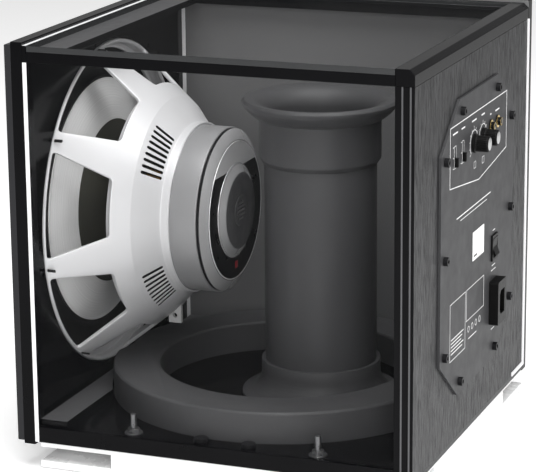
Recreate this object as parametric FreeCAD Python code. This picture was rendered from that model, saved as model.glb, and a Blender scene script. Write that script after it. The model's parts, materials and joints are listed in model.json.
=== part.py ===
import FreeCAD
import Part
import math
import os

# A powered subwoofer in a demonstration cabinet: black boards, a clear near side and a clear
# top. Units are millimetres. +X is the clear near side, -Y the driver's face, +Z up.
# The origin is on the supporting surface, under the middle of the overall box.

Vec = FreeCAD.Vector
X_AXIS = Vec(1, 0, 0)
Y_AXIS = Vec(0, 1, 0)
Z_AXIS = Vec(0, 0, 1)
OVER = 1.0  # how far a cutter passes beyond the face it leaves through

# ---------------------------------------------------------------- cabinet dimensions
cabinet_w = 406.0
cabinet_d = 415.0
cabinet_h = 402.0
front_plate_t = 7.0
baffle_t = 12.0
baffle_reveal = 3.0
trim_t = 4.5
trim_depth = 14.0
board_t = 16.0
side_board_t = 14.0
side_board_reveal = 2.5
rear_board_t = 19.0
rear_rebate = 5.0
rail_h = 10.5
rail_w = 17.0
clear_top_t = 6.0
clear_side_t = 5.0
panel_gap = 0.2
rail_chamfer = 5.0
cleat_w = 29.0
cleat_h = 7.0
inlay_w = 1.8
inlay_depth = 1.5
inlay_pitch = 8.0
rear_trim_w = 4.0
rear_trim_t = 1.5
rear_trim_foot = 46.0
joint_gap = 0.2

# ---------------------------------------------------------------- plinth dimensions
plinth_top_t = 5.5
plinth_gap_h = 14.5
plinth_base_t = 7.0
pad_t = 1.5
pad_r = 15.0
pad_inset = 34.0
plinth_side_inset = 3.0
slot_len = 77.0
block_t = 40.0

# ---------------------------------------------------------------- foot hardware
foot_bolt_r = 3.0
foot_bolt_head_r = 6.5
foot_bolt_head_h = 4.0
foot_stud_up = 20.0
foot_washer_r = 9.0
foot_washer_t = 1.6
foot_bolt_inset = 15.0
nut_turn_deg = 15.0
foot_bolt_half_span = 97.0
bolt_hole_gap = 0.3
tee_head_r = 7.0
tee_head_h = 4.0
tee_shank_r = 2.5
tee_half_pitch = 25.0
tee_length_down = 19.0

# ---------------------------------------------------------------- driver dimensions
driver_z = 202.0
flange_r = 182.0
flange_t = 6.0
flange_gap = 0.4
barrel_r = 170.0
barrel_len = 19.5
basket_wall = 4.0
cutout_gap = 1.5
window_count = 8
window_phase_deg = 11.0
window_outer_r = 168.5
window_inner_r = 127.5
window_outer_half_deg = 18.8
window_inner_half_deg = 13.2
window_corner_r = 3.5
window_margin = 2.0
window_root_y = 73.8
rim_lip = 3.5
barrel_inner_ease = 3.0
shoulder_inner_ease = 1.0
seat_ease = 1.0
seat_wall = 2.0
seat_drop = 0.5
window_start_y = 12.0
shoulder_r = 114.0
shoulder_y = 88.5
seat_r = 89.0
seat_y = 110.4
web_t = 3.8
web_inner_r = 70.0
ledge_front_y = 63.5
vent_groups = 4
vents_per_group = 9
vent_pitch_deg = 3.7
vent_phase_deg = 46.0
vent_w = 3.0
vent_r_in = 92.7
vent_r_out = 108.0
notch_w = 3.0
notch_depth = 1.2
notch_len = 9.0
surround_out_r = 164.0
surround_land = 4.0
surround_t = 1.6
roll_h = 11.0
cone_out_r = 129.0
cone_joint_r = 86.0
cone_neck_r = 38.0
cone_edge_y = 2.0
cone_joint_y = 16.5
cone_neck_y = 44.0
cone_t = 1.4
glue_gap = 0.3
cap_r = 62.0
cap_rise = 13.0
coil_inner_r = 37.0
coil_t = 0.5
coil_front_y = 42.0
coil_rear_y = 126.0
winding_t = 1.5
winding_front_y = 103.0
winding_rear_y = 124.0
spider_r = 104.0
spider_y = 62.3
spider_t = 1.0
spider_rise = 2.4
spider_rolls = 6
ledge_w = 6.0
top_plate_t = 7.5
top_plate_gap = 0.2
magnet_r = 86.0
magnet_inner_r = 47.0
magnet_t = 29.0
back_plate_r = 85.0
back_plate_t = 9.0
back_bevel = 5.8
back_bevel_r = 11.5
pole_r = 36.0
hub_top_r = 40.5
hub_rise = 5.8
hub_ring_w = 1.8
pole_vent_r = 13.0
coil_clear = 0.8
label_r = 71.5
label_gap = 0.3
label_t = 0.6
label_chord_z = 44.0
hub_ring_r = 49.4
hub_ring_t = 1.2
mesh_t = 0.8
mesh_land = 3.0
mesh_hole_r = 1.5
mesh_pitch = 4.2
mesh_rows = 3
driver_screw_pcd_r = 176.5
driver_screw_count = 8
driver_screw_phase_deg = 33.0
driver_screw_r = 2.5
driver_screw_head_r = 4.2
driver_screw_head_h = 3.2
driver_screw_len = 16.0
driver_screw_socket_r = 1.8
driver_screw_socket_floor = 0.8
gasket_in_r = 165.5
gasket_out_r = 172.0
gasket_t = 1.2
terminal_w = 14.0
terminal_h = 14.0
terminal_t = 5.0
terminal_y = 80.0
terminal_hole_r = 2.5
terminal_hole_up = 8.0

# ---------------------------------------------------------------- port dimensions
port_y_off = 43.0
port_r = 57.5
port_wall = 4.0
port_top_z = 327.0
port_rim_w = 22.5
port_rim_t = 7.0
port_flare_h = 20.0
collar_wall = 4.5
collar_lip = 0.8
collar_len = 46.0
collar_chamfer = 5.0
collar_gap = 0.2
tube_top_drop = 34.0
mouth_w = 18.5
mouth_edge = 3.0
foot_flange_w = 6.0
foot_flange_t = 3.0
foot_collar_h = 10.0
foot_curve_r = 4.0
foot_curve_h = 9.0
mouth_curve_r = 5.0
mouth_curve_h = 4.0
tube_seat = 6.0
rim_edge = 3.0
rim_under = 1.5
throat_curve_r = 6.5
throat_curve_drop = 5.5
neck_curve_r = 5.5
neck_curve_drop = 3.5
mouth_flare_h = 38.0
ring_out_r = 180.0
ring_mouth_gap = 10.0
ring_h = 32.0
ring_y_off = 4.0
ring_clear = 1.5
ring_round = 3.0

# ---------------------------------------------------------------- amplifier dimensions
amp_half_w = 127.0
amp_half_h = 149.0
amp_corner_w = 68.0
amp_corner_h = 104.0
amp_plate_t = 2.5
amp_z = 200.0
amp_cut_gap = 1.0
amp_screw_side_x = 115.0
amp_screw_side_dz = 97.0
amp_screw_end_x = 62.0
amp_screw_end_dz = 136.5
amp_screw_r = 2.5
amp_screw_head_r = 4.4
amp_screw_head_h = 4.6
amp_screw_len = 18.0
hex_r = 2.2
hex_depth = 2.6
tray_depth = 32.0
tray_wall = 1.5
tray_w = 200.0
tray_h = 250.0
knob_x = (18.5, -12.5)
knob_z = 295.5
knob_r = 8.0
knob_skirt_r = 9.4
knob_skirt_h = 2.5
knob_proud = 19.0
knob_gap = 0.5
knob_edge = 1.0
knob_end_t = 4.0
shaft_r = 3.0
shaft_hole_gap = 0.05
shaft_in = 6.0
bush_wall = 0.9
bush_gap = 0.1
pot_r = 8.5
pot_depth = 9.0
switch_x = (82.5, 56.0)
switch_z = 295.0
switch_slot_w = 4.0
switch_slot_h = 20.0
slider_w = 3.4
slider_h = 9.0
slider_proud = 4.0
slider_end_gap = 0.5
slider_in = 4.5
slider_edge = 0.6
slot_in = 5.0
switch_body_w = 11.0
switch_body_h = 30.0
switch_body_d = 8.0
jack_x = (-40.0, -64.0)
jack_z = 301.0
jack_r = 4.2
jack_base_r = 6.5
jack_base_t = 1.5
jack_proud = 5.0
jack_in = 10.0
jack_bore_r = 2.1
jack_bore_depth = 5.5
rocker_x = -58.0
rocker_z = 171.0
rocker_w = 14.0
rocker_h = 20.0
bezel_w = 20.0
bezel_h = 27.0
bezel_t = 2.0
rocker_tilt_deg = 8.0
rocker_pivot_in = 4.0
rocker_gap = 0.4
rocker_pin_r = 1.4
pin_reach = 1.0
pin_end_gap = 0.1
sleeve_wall = 1.4
sleeve_depth = 12.0
sleeve_floor = 2.0
rocker_dip = 2.0
rocker_foot_in = 3.0
rocker_foot_h = 4.0
rocker_end_gap = 1.0
rocker_lip = 1.6
inlet_x = -58.0
inlet_z = 114.0
inlet_w = 30.0
inlet_h = 46.0
inlet_proud = 10.0
inlet_depth = 18.0
socket_w = 17.0
socket_h = 25.0
socket_depth = 20.0
socket_corner = 4.0
socket_wall = 2.3
inlet_corner_r = 2.5
pin_w = 2.0
pin_h = 4.0
pin_len = 14.0
pin_spread = 7.0
pin_line_x = -2.0
earth_pin_x = 2.5
badge_w = 39.0
badge_h = 29.5
badge_t = 0.8
badge_z = 190.0
board_inset = 8.0
pcb_t = 1.6
pcb_standoff = 5.0
transformer_r = 34.0
transformer_t = 17.0
transformer_bore_r = 9.0
transformer_x = 42.0
transformer_z = 190.0
sink_fins = 9
sink_w = 70.0
sink_h = 60.0
sink_base = 3.0
sink_fin_t = 2.0
sink_depth = 15.0
sink_x = 4.0
sink_z = 82.0
cap_can_r = 8.0
cap_can_len = 15.0
cap_x = -20.0
cap_z = 215.0
cap_pitch = 20.0

# ---------------------------------------------------------------- derived places
overall_d = roll_h + cabinet_d + knob_proud
front_y = -overall_d / 2 + roll_h
rear_y = front_y + cabinet_d
baffle_y = front_y + front_plate_t
inner_front_y = baffle_y + baffle_t
trim_rear_y = inner_front_y + trim_t
inner_rear_y = rear_y - rear_board_t
mid_y = (front_y + rear_y) / 2
half_w = cabinet_w / 2
inner_left_x = -half_w + side_board_t
base_h = pad_t + plinth_base_t + plinth_gap_h + plinth_top_t
floor_z = base_h
inner_floor_z = floor_z + board_t
top_z = floor_z + cabinet_h
rail_top_z = top_z - clear_top_t
rail_low_z = rail_top_z - rail_h
plinth_front_y = trim_rear_y
plinth_rear_y = rear_y - plinth_side_inset
plinth_half_w = half_w - plinth_side_inset
plinth_mid_y = (plinth_front_y + plinth_rear_y) / 2
driver_axis_z = floor_z + driver_z
window_root_r = window_inner_r - window_margin
motor_y = seat_y + seat_drop
magnet_y = motor_y + top_plate_t
back_plate_y = magnet_y + magnet_t
back_face_y = back_plate_y + back_plate_t
port_y = mid_y + port_y_off
port_rim_r = port_r + port_rim_w
collar_r = port_r + collar_wall
mouth_r = port_r + mouth_w
ring_in_r = port_y_off - ring_y_off + mouth_r + foot_flange_w + ring_mouth_gap
ring_y = mid_y + ring_y_off
port_rim_z = floor_z + port_top_z
amp_axis_z = floor_z + amp_z
amp_y = rear_y + amp_plate_t


# ---------------------------------------------------------------- shape helpers
def box(x0, x1, y0, y1, z0, z1):
    return Part.makeBox(x1 - x0, y1 - y0, z1 - z0, Vec(x0, y0, z0))


def cyl_y(x, z, r, y0, y1):
    return Part.makeCylinder(r, y1 - y0, Vec(x, y0, z), Y_AXIS)


def cyl_z(x, y, r, z0, z1):
    return Part.makeCylinder(r, z1 - z0, Vec(x, y, z0), Z_AXIS)


def tube_y(x, z, r_out, r_in, y0, y1):
    return cyl_y(x, z, r_out, y0, y1).cut(cyl_y(x, z, r_in, y0 - OVER, y1 + OVER))


def tube_z(x, y, r_out, r_in, z0, z1):
    return cyl_z(x, y, r_out, z0, z1).cut(cyl_z(x, y, r_in, z0 - OVER, z1 + OVER))


def closed_face(edges):
    return Part.Face(Part.Wire(Part.sortEdges(edges)[0]))


def polygon_face(points):
    return Part.Face(Part.makePolygon(points + [points[0]]))


def driver_point(r, depth):
    """A point of a half section through the driver: radius, and depth behind the front."""
    return Vec(r, front_y + depth, driver_axis_z)


def revolve_driver(edges):
    face = closed_face(edges)
    return face.revolve(Vec(0, 0, driver_axis_z), Y_AXIS, 360)


def revolve_driver_points(points):
    section = [driver_point(r, depth) for r, depth in points]
    return polygon_face(section).revolve(Vec(0, 0, driver_axis_z), Y_AXIS, 360)


def line(a, b):
    return Part.LineSegment(a, b).toShape()


def arc(a, b, c):
    return Part.Arc(a, b, c).toShape()


def turn_about_driver(shape, angle_deg):
    copy = shape.copy()
    copy.rotate(Vec(0, 0, driver_axis_z), Y_AXIS, -angle_deg)
    return copy


def group(shapes):
    return Part.makeCompound(shapes)


def hex_socket_y(x, z, y_face, r, depth):
    """A hexagonal key socket sunk from y_face towards -Y."""
    points = []
    for k in range(6):
        a = math.radians(60 * k)
        points.append(Vec(x + r * math.cos(a), y_face - depth, z + r * math.sin(a)))
    return polygon_face(points).extrude(Vec(0, depth + OVER, 0))


# ---------------------------------------------------------------- cabinet
def driver_cutout(y0, y1, extra):
    return cyl_y(0, driver_axis_z, barrel_r + cutout_gap + extra, y0, y1)


def screw_angles():
    step = 360.0 / driver_screw_count
    return [driver_screw_phase_deg + step * k for k in range(driver_screw_count)]


def driver_screw_centre(angle_deg):
    a = math.radians(angle_deg)
    x = driver_screw_pcd_r * math.cos(a)
    z = driver_axis_z + driver_screw_pcd_r * math.sin(a)
    return x, z


def front_plate():
    plate = box(-half_w, half_w, front_y, baffle_y, floor_z, top_z)
    seat = cyl_y(0, driver_axis_z, flange_r + flange_gap, front_y, baffle_y)
    return plate.cut(seat)


def front_baffle():
    low = floor_z - baffle_reveal
    plate = box(-half_w, half_w, baffle_y, inner_front_y, low, top_z + baffle_reveal)
    plate = plate.cut(driver_cutout(baffle_y - OVER, inner_front_y + OVER, 0))
    for angle in screw_angles():
        x, z = driver_screw_centre(angle)
        plate = plate.cut(cyl_y(x, z, driver_screw_r, baffle_y - OVER, inner_front_y + OVER))
    return plate


def trim_strip(side):
    """One mitred strip of the bright frame behind the baffle."""
    out_x = half_w
    out_top = top_z
    in_x = half_w - trim_depth
    in_low = floor_z + trim_depth
    in_top = top_z - trim_depth
    y0 = inner_front_y
    outer = [Vec(-out_x, y0, floor_z), Vec(out_x, y0, floor_z)]
    outer += [Vec(out_x, y0, out_top), Vec(-out_x, y0, out_top)]
    inner = [Vec(-in_x, y0, in_low), Vec(in_x, y0, in_low)]
    inner += [Vec(in_x, y0, in_top), Vec(-in_x, y0, in_top)]
    n = (side + 1) % 4
    face = polygon_face([outer[side], outer[n], inner[n], inner[side]])
    return face.extrude(Vec(0, trim_t, 0))


def foot_bolt_places():
    near_x = half_w - foot_bolt_inset
    far_x = inner_left_x + foot_bolt_inset
    return [(x, plinth_mid_y + sy * foot_bolt_half_span) for x in (near_x, far_x) for sy in (1, -1)]


def tee_screw_places():
    x = half_w - foot_bolt_inset
    return [(x, plinth_mid_y + sy * tee_half_pitch) for sy in (1, -1)]


def bottom_board():
    board = box(inner_left_x, half_w, trim_rear_y, rear_y, floor_z, inner_floor_z)
    rebate_z = floor_z + rear_rebate
    rebate = box(inner_left_x, half_w, inner_rear_y, rear_y, rebate_z, inner_floor_z)
    board = board.cut(rebate)
    board = board.cut(cyl_z(0, port_y, mouth_r + panel_gap, floor_z - OVER, inner_floor_z + OVER))
    for x, y in foot_bolt_places():
        board = board.cut(cyl_z(x, y, foot_bolt_r + bolt_hole_gap, floor_z - OVER, inner_floor_z + OVER))
    for x, y in tee_screw_places():
        board = board.cut(cyl_z(x, y, tee_shank_r + bolt_hole_gap, floor_z - OVER, inner_floor_z + OVER))
    return board


def far_side_board():
    low = floor_z - side_board_reveal
    high = top_z + side_board_reveal
    return box(-half_w, inner_left_x, trim_rear_y, rear_y, low, high)


def amp_outline(grow):
    """The eight-cornered outline of the amplifier plate at the rear face."""
    w, h = amp_half_w + grow, amp_half_h + grow
    cw, ch = amp_corner_w + grow, amp_corner_h + grow
    pairs = [(w, -ch), (w, ch), (cw, h), (-cw, h), (-w, ch), (-w, -ch), (-cw, -h), (cw, -h)]
    return [Vec(x, rear_y, amp_axis_z + z) for x, z in pairs]


def amp_screw_places():
    side = [(sx * amp_screw_side_x, dz) for sx in (1, -1)
            for dz in (-amp_screw_side_dz, 0.0, amp_screw_side_dz)]
    ends = [(sx * amp_screw_end_x, dz) for sx in (1, -1)
            for dz in (-amp_screw_end_dz, amp_screw_end_dz)]
    return [(x, amp_axis_z + dz) for x, dz in side + ends]


def rear_board():
    low = floor_z + rear_rebate
    board = box(inner_left_x + rear_trim_w, half_w, inner_rear_y, rear_y, low, rail_low_z)
    half_tray_w = tray_w / 2 + amp_cut_gap
    half_tray_h = tray_h / 2 + amp_cut_gap
    cut = box(-half_tray_w, half_tray_w, inner_rear_y - OVER, rear_y + OVER,
              amp_axis_z - half_tray_h, amp_axis_z + half_tray_h)
    board = board.cut(cut)
    for x, z in amp_screw_places():
        board = board.cut(cyl_y(x, z, amp_screw_r, inner_rear_y, rear_y + OVER))
    for strip in inlay_boxes():
        board = board.cut(strip)
    return board


def inlay_boxes():
    """Two bright inlays let into the rear board's near edge."""
    strips = []
    for k in (1, 2):
        y = rear_y - k * inlay_pitch + inlay_pitch / 2
        low = floor_z + rear_rebate
        strips.append(box(half_w - inlay_depth, half_w, y - inlay_w / 2, y + inlay_w / 2,
                          low, rail_low_z))
    return strips


def rear_trim():
    """Bright L strip at the rear board's far edge, turned along its foot."""
    low = floor_z + rear_rebate
    x0 = inner_left_x
    upright = box(x0, x0 + rear_trim_w, inner_rear_y, rear_y, low, rail_low_z)
    foot = box(x0, x0 + rear_trim_foot, rear_y, rear_y + rear_trim_t, low, low + rear_trim_w)
    lip = box(x0, x0 + rear_trim_w, rear_y, rear_y + rear_trim_t, low, rail_low_z)
    return upright.fuse([foot, lip]).removeSplitter()


def top_rail_near():
    x0 = half_w - rail_w
    return box(x0, half_w, trim_rear_y, inner_rear_y, rail_low_z, rail_top_z)


def top_rail_far():
    x1 = inner_left_x + rail_w
    return box(inner_left_x, x1, trim_rear_y, inner_rear_y, rail_low_z, rail_top_z)


def top_rail_rear():
    points = [
        Vec(inner_left_x, inner_rear_y, rail_low_z),
        Vec(inner_left_x, rear_y, rail_low_z),
        Vec(inner_left_x, rear_y, top_z - rail_chamfer),
        Vec(inner_left_x, rear_y - rail_chamfer, top_z),
        Vec(inner_left_x, inner_rear_y, top_z),
    ]
    return polygon_face(points).extrude(Vec(half_w - inner_left_x, 0, 0))


def top_panel():
    return box(inner_left_x + panel_gap, half_w, trim_rear_y + panel_gap,
               inner_rear_y - panel_gap, rail_top_z, top_z)


def side_panel():
    return box(half_w - clear_side_t, half_w, trim_rear_y + panel_gap, inner_rear_y - panel_gap,
               inner_floor_z, rail_low_z)


def cleat(low, x_low, x_high):
    return box(x_low, x_high, trim_rear_y, trim_rear_y + cleat_w, low, low + cleat_h)


def floor_cleats():
    """Front floor batten, scribed round the brace ring."""
    batten = cleat(inner_floor_z, inner_left_x, half_w - clear_side_t - panel_gap)
    ring = cyl_z(0, ring_y, ring_out_r + ring_clear, inner_floor_z - OVER, inner_floor_z + cleat_h + OVER)
    return batten.cut(ring)


def top_cleat():
    inner = rail_w + panel_gap
    return cleat(rail_top_z - cleat_h, inner_left_x + inner, half_w - inner)


# ---------------------------------------------------------------- plinth
def plinth_plate(low, high):
    return box(-plinth_half_w, plinth_half_w, plinth_front_y, plinth_rear_y, low, high)


def plinth_top_plate():
    low = floor_z - plinth_top_t
    plate = plinth_plate(low, floor_z)
    relief_x = inner_left_x + panel_gap
    relief_z = floor_z - side_board_reveal - panel_gap
    plate = plate.cut(box(-half_w, relief_x, plinth_front_y - OVER, rear_y, relief_z, floor_z + OVER))
    plate = plate.cut(cyl_z(0, port_y, mouth_r + panel_gap, low - OVER, floor_z + OVER))
    for x, y in foot_bolt_places():
        plate = plate.cut(cyl_z(x, y, foot_bolt_r + bolt_hole_gap, low - OVER, floor_z + OVER))
    for x, y in tee_screw_places():
        plate = plate.cut(cyl_z(x, y, tee_shank_r + bolt_hole_gap, low - OVER, floor_z + OVER))
    return plate


def plinth_base_plate():
    low = pad_t
    plate = plinth_plate(low, low + plinth_base_t)
    for x, y in foot_bolt_places():
        plate = plate.cut(cyl_z(x, y, foot_bolt_r + bolt_hole_gap, low - OVER, low + plinth_base_t + OVER))
        plate = plate.cut(cyl_z(x, y, foot_bolt_head_r + bolt_hole_gap, low - OVER, low + foot_bolt_head_h))
    return plate


def drilled_block(block):
    z0 = pad_t + plinth_base_t
    z1 = z0 + plinth_gap_h
    for x, y in foot_bolt_places():
        block = block.cut(cyl_z(x, y, foot_bolt_r + bolt_hole_gap, z0 - OVER, z1 + OVER))
    for x, y in tee_screw_places():
        block = block.cut(cyl_z(x, y, tee_shank_r + bolt_hole_gap, z0 - OVER, z1 + OVER))
    return block


def plinth_block_side(sign):
    """Spacer between the plates along a side, leaving a slot at each corner."""
    z0 = pad_t + plinth_base_t
    x0, x1 = sorted((sign * plinth_half_w, sign * (plinth_half_w - block_t)))
    y0 = plinth_front_y + slot_len
    y1 = plinth_rear_y - slot_len
    return drilled_block(box(x0, x1, y0, y1, z0, z0 + plinth_gap_h))


def plinth_block_end(sign):
    """Spacer between the plates along the front or the rear."""
    z0 = pad_t + plinth_base_t
    edge = plinth_rear_y if sign > 0 else plinth_front_y
    y0, y1 = sorted((edge, edge - sign * block_t))
    x1 = plinth_half_w - slot_len
    return box(-x1, x1, y0, y1, z0, z0 + plinth_gap_h)


def foot_pad(x, y):
    return cyl_z(x, y, pad_r, 0, pad_t)


def foot_pad_places():
    x = plinth_half_w - pad_inset
    y0 = plinth_front_y + pad_inset
    y1 = plinth_rear_y - pad_inset
    return [(sx * x, y) for sx in (1, -1) for y in (y0, y1)]


def foot_bolts():
    """Long bolts up through the plinth and the bottom board, with a washer and a nut each."""
    bolts = []
    for x, y in foot_bolt_places():
        low = pad_t
        head = cyl_z(x, y, foot_bolt_head_r, low, low + foot_bolt_head_h)
        shank = cyl_z(x, y, foot_bolt_r, low, inner_floor_z + foot_stud_up)
        bolts.append(head.fuse(shank).removeSplitter())
    return group(bolts)


def foot_washers():
    rings = []
    for x, y in foot_bolt_places():
        low = inner_floor_z
        rings.append(tube_z(x, y, foot_washer_r, foot_bolt_r + bolt_hole_gap, low, low + foot_washer_t))
    return rings


def hex_nut(x, y, low, across_r, height):
    points = []
    for k in range(6):
        a = math.radians(60 * k + nut_turn_deg)
        points.append(Vec(x + across_r * math.cos(a), y + across_r * math.sin(a), low))
    nut = polygon_face(points).extrude(Vec(0, 0, height))
    return nut.cut(cyl_z(x, y, foot_bolt_r, low - OVER, low + height + OVER))


def foot_nuts():
    low = inner_floor_z + foot_washer_t
    return [hex_nut(x, y, low, foot_bolt_head_r, foot_bolt_head_h) for x, y in foot_bolt_places()]


def board_screws():
    screws = []
    for x, y in tee_screw_places():
        head = cyl_z(x, y, tee_head_r, inner_floor_z, inner_floor_z + tee_head_h)
        shank = cyl_z(x, y, tee_shank_r, floor_z - tee_length_down, inner_floor_z)
        screws.append(head.fuse(shank).removeSplitter())
    return group(screws)


# ---------------------------------------------------------------- driver
def window_cutter():
    """A rounded trapezoid prism that cuts one basket window, about angle 0."""
    points = []
    corners = [
        (window_outer_r, -window_outer_half_deg),
        (window_outer_r, window_outer_half_deg),
        (window_inner_r, window_inner_half_deg),
        (window_inner_r, -window_inner_half_deg),
    ]
    y0 = front_y + window_start_y
    y1 = front_y + shoulder_y
    for r, angle in corners:
        a = math.radians(angle)
        points.append(Vec(r * math.cos(a), y0, driver_axis_z + r * math.sin(a)))
    outer = Vec(window_outer_r, y0, driver_axis_z)
    inner = Vec(window_inner_r, y0, driver_axis_z)
    edges = [
        arc(points[0], outer, points[1]),
        line(points[1], points[2]),
        arc(points[2], inner, points[3]),
        line(points[3], points[0]),
    ]
    prism = closed_face(edges).extrude(Vec(0, y1 - y0, 0))
    upright = [e for e in prism.Edges if abs(e.Vertexes[0].Y - e.Vertexes[-1].Y) > OVER]
    return prism.makeFillet(window_corner_r, upright)


def vent_cutter():
    """A rounded slot through the sloping shoulder, about angle 0."""
    half = vent_w / 2
    y0 = front_y + shoulder_y - basket_wall * 2
    y1 = front_y + seat_y
    slot = box(vent_r_in, vent_r_out, y0, y1, driver_axis_z - half, driver_axis_z + half)
    for x in (vent_r_in, vent_r_out):
        slot = slot.fuse(cyl_y(x, driver_axis_z, half, y0, y1))
    return slot


def vent_angles():
    step = 360.0 / vent_groups
    first = vent_phase_deg - vent_pitch_deg * (vents_per_group - 1) / 2
    return [first + step * g + vent_pitch_deg * k
            for g in range(vent_groups) for k in range(vents_per_group)]


def basket_section():
    """Half section: flange, barrel, windowed cone, spider ledge, vented shoulder, seat."""
    w = basket_wall
    rim_in_r = surround_out_r + rim_lip
    ledge_r = surround_out_r - surround_land
    land_y = cone_edge_y + surround_t + glue_gap
    outer = [
        (rim_in_r, 0.0), (flange_r, 0.0), (flange_r, flange_t),
        (barrel_r, flange_t), (barrel_r, barrel_len), (window_root_r, window_root_y),
        (shoulder_r, shoulder_y), (seat_r + seat_ease, seat_y - seat_ease), (seat_r, seat_y),
        (seat_r, magnet_y),
    ]
    inner = [
        (seat_r - seat_wall, magnet_y), (seat_r - seat_wall, motor_y), (web_inner_r, motor_y),
        (web_inner_r, motor_y - web_t), (seat_r - seat_wall - seat_drop, motor_y - web_t),
        (shoulder_r - w, shoulder_y - shoulder_inner_ease), (shoulder_r - w, ledge_front_y + w),
        (spider_r - ledge_w, ledge_front_y + w), (spider_r - ledge_w, ledge_front_y),
        (window_root_r, ledge_front_y), (barrel_r - w - barrel_inner_ease, barrel_len + shoulder_inner_ease),
        (barrel_r - w, barrel_len - barrel_inner_ease), (barrel_r - w, land_y + w),
        (ledge_r, land_y + w), (ledge_r, land_y), (rim_in_r, land_y),
    ]
    return outer + inner


def basket():
    """Cast frame with windows, vent slots, rim notches and flange holes."""
    body = revolve_driver_points(basket_section())
    cutter = window_cutter()
    step = 360.0 / window_count
    windows = [turn_about_driver(cutter, window_phase_deg + step * k) for k in range(window_count)]
    body = body.cut(windows)
    vent = vent_cutter()
    body = body.cut([turn_about_driver(vent, angle) for angle in vent_angles()])
    notch_y = inner_front_y - OVER
    notch = box(barrel_r - notch_depth, barrel_r + OVER, notch_y, notch_y + notch_len,
                driver_axis_z - notch_w / 2, driver_axis_z + notch_w / 2)
    body = body.cut([turn_about_driver(notch, angle) for angle in screw_angles()])
    for angle in screw_angles():
        x, z = driver_screw_centre(angle)
        body = body.cut(cyl_y(x, z, driver_screw_r, front_y - OVER, front_y + flange_t + OVER))
    return body


def surround():
    """Half-roll rubber surround, crest towards the listener."""
    y = cone_edge_y
    out_r = surround_out_r
    in_r = cone_out_r - surround_land
    roll_out = surround_out_r - surround_land
    roll_in = cone_out_r
    mid = (roll_out + roll_in) / 2
    t = surround_t
    p = driver_point
    edges = [
        line(p(out_r, y), p(roll_out, y)),
        arc(p(roll_out, y), p(mid, -roll_h), p(roll_in, y)),
        line(p(roll_in, y), p(in_r, y)),
        line(p(in_r, y), p(in_r, y + t)),
        line(p(in_r, y + t), p(roll_in + t, y + t)),
        arc(p(roll_in + t, y + t), p(mid, -roll_h + t), p(roll_out - t, y + t)),
        line(p(roll_out - t, y + t), p(out_r, y + t)),
        line(p(out_r, y + t), p(out_r, y)),
    ]
    return revolve_driver(edges)


def gasket():
    return tube_y(0, driver_axis_z, gasket_out_r, gasket_in_r, front_y - gasket_t, front_y - 0.001)


def cone():
    """Outer cone: a shallow metal cone from the surround to the neck."""
    y = cone_edge_y + surround_t + glue_gap
    flat_r = cone_out_r - surround_land
    points = [
        (cone_out_r - glue_gap, y), (cone_out_r - glue_gap, y + cone_t), (flat_r, y + cone_t),
        (cone_joint_r, cone_joint_y + cone_t), (cone_joint_r, cone_joint_y), (flat_r, y),
    ]
    return revolve_driver_points(points)


def cone_neck():
    """Inner cone: a steeper dark neck from the metal cone to the voice coil."""
    points = [
        (cone_joint_r, cone_joint_y), (cone_joint_r, cone_joint_y + cone_t),
        (cone_neck_r, cone_neck_y + cone_t), (cone_neck_r, cone_neck_y),
    ]
    return revolve_driver_points(points)


def neck_front_y(r):
    """Depth of the neck's front surface at radius r."""
    slope = (cone_neck_y - cone_joint_y) / (cone_joint_r - cone_neck_r)
    return cone_joint_y + (cone_joint_r - r) * slope


def dome_arc(r_foot, y_foot, y_top):
    """Arc from a foot circle to the driver axis, its centre on the axis so the dome is a true sphere."""
    rise = y_foot - y_top
    sphere_r = (r_foot ** 2 + rise ** 2) / (2 * rise)
    half = math.asin(r_foot / sphere_r) / 2
    middle = driver_point(sphere_r * math.sin(half), y_top + sphere_r * (1 - math.cos(half)))
    return arc(driver_point(r_foot, y_foot), middle, driver_point(0, y_top))


def dust_cap():
    """Shallow dome glued on the neck's front surface."""
    y_outer = neck_front_y(cap_r)
    foot_r = cap_r - cone_t
    y_inner = neck_front_y(foot_r)
    y_top = y_outer - cap_rise
    edges = [
        dome_arc(cap_r, y_outer, y_top),
        line(driver_point(0, y_top), driver_point(0, y_top + cone_t)),
        dome_arc(foot_r, y_inner, y_top + cone_t),
        line(driver_point(foot_r, y_inner), driver_point(cap_r, y_outer)),
    ]
    return revolve_driver(edges)


def coil_former():
    r_in = coil_inner_r
    return tube_y(0, driver_axis_z, r_in + coil_t, r_in, front_y + coil_front_y, front_y + coil_rear_y)


def coil_winding():
    r_in = coil_inner_r + coil_t
    return tube_y(0, driver_axis_z, r_in + winding_t, r_in,
                  front_y + winding_front_y, front_y + winding_rear_y)


def spider():
    """Corrugated suspension disc between the coil former and the basket ledge."""
    r0 = coil_inner_r + coil_t + glue_gap
    r1 = spider_r
    flat_in = 4.0
    flat_out = ledge_w + 1.0
    pitch = (r1 - r0 - flat_in - flat_out) / (2 * spider_rolls)
    crest = []
    for k in range(2 * spider_rolls + 1):
        r = r0 + flat_in + pitch * k
        rise = spider_rise if k % 2 else -spider_rise
        if k in (0, 2 * spider_rolls):
            rise = 0.0
        crest.append((r, spider_y + rise))
    front = [(r0, spider_y)] + crest + [(r1, spider_y)]
    back = [(r, y + spider_t) for r, y in reversed(front)]
    return revolve_driver_points(front + back)


def top_plate():
    outer_r = seat_r - seat_wall - top_plate_gap
    inner_r = coil_inner_r + coil_t + winding_t + coil_clear
    return tube_y(0, driver_axis_z, outer_r, inner_r, front_y + motor_y, front_y + magnet_y)


def magnet():
    return tube_y(0, driver_axis_z, magnet_r, magnet_inner_r,
                  front_y + magnet_y, front_y + back_plate_y)


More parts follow.
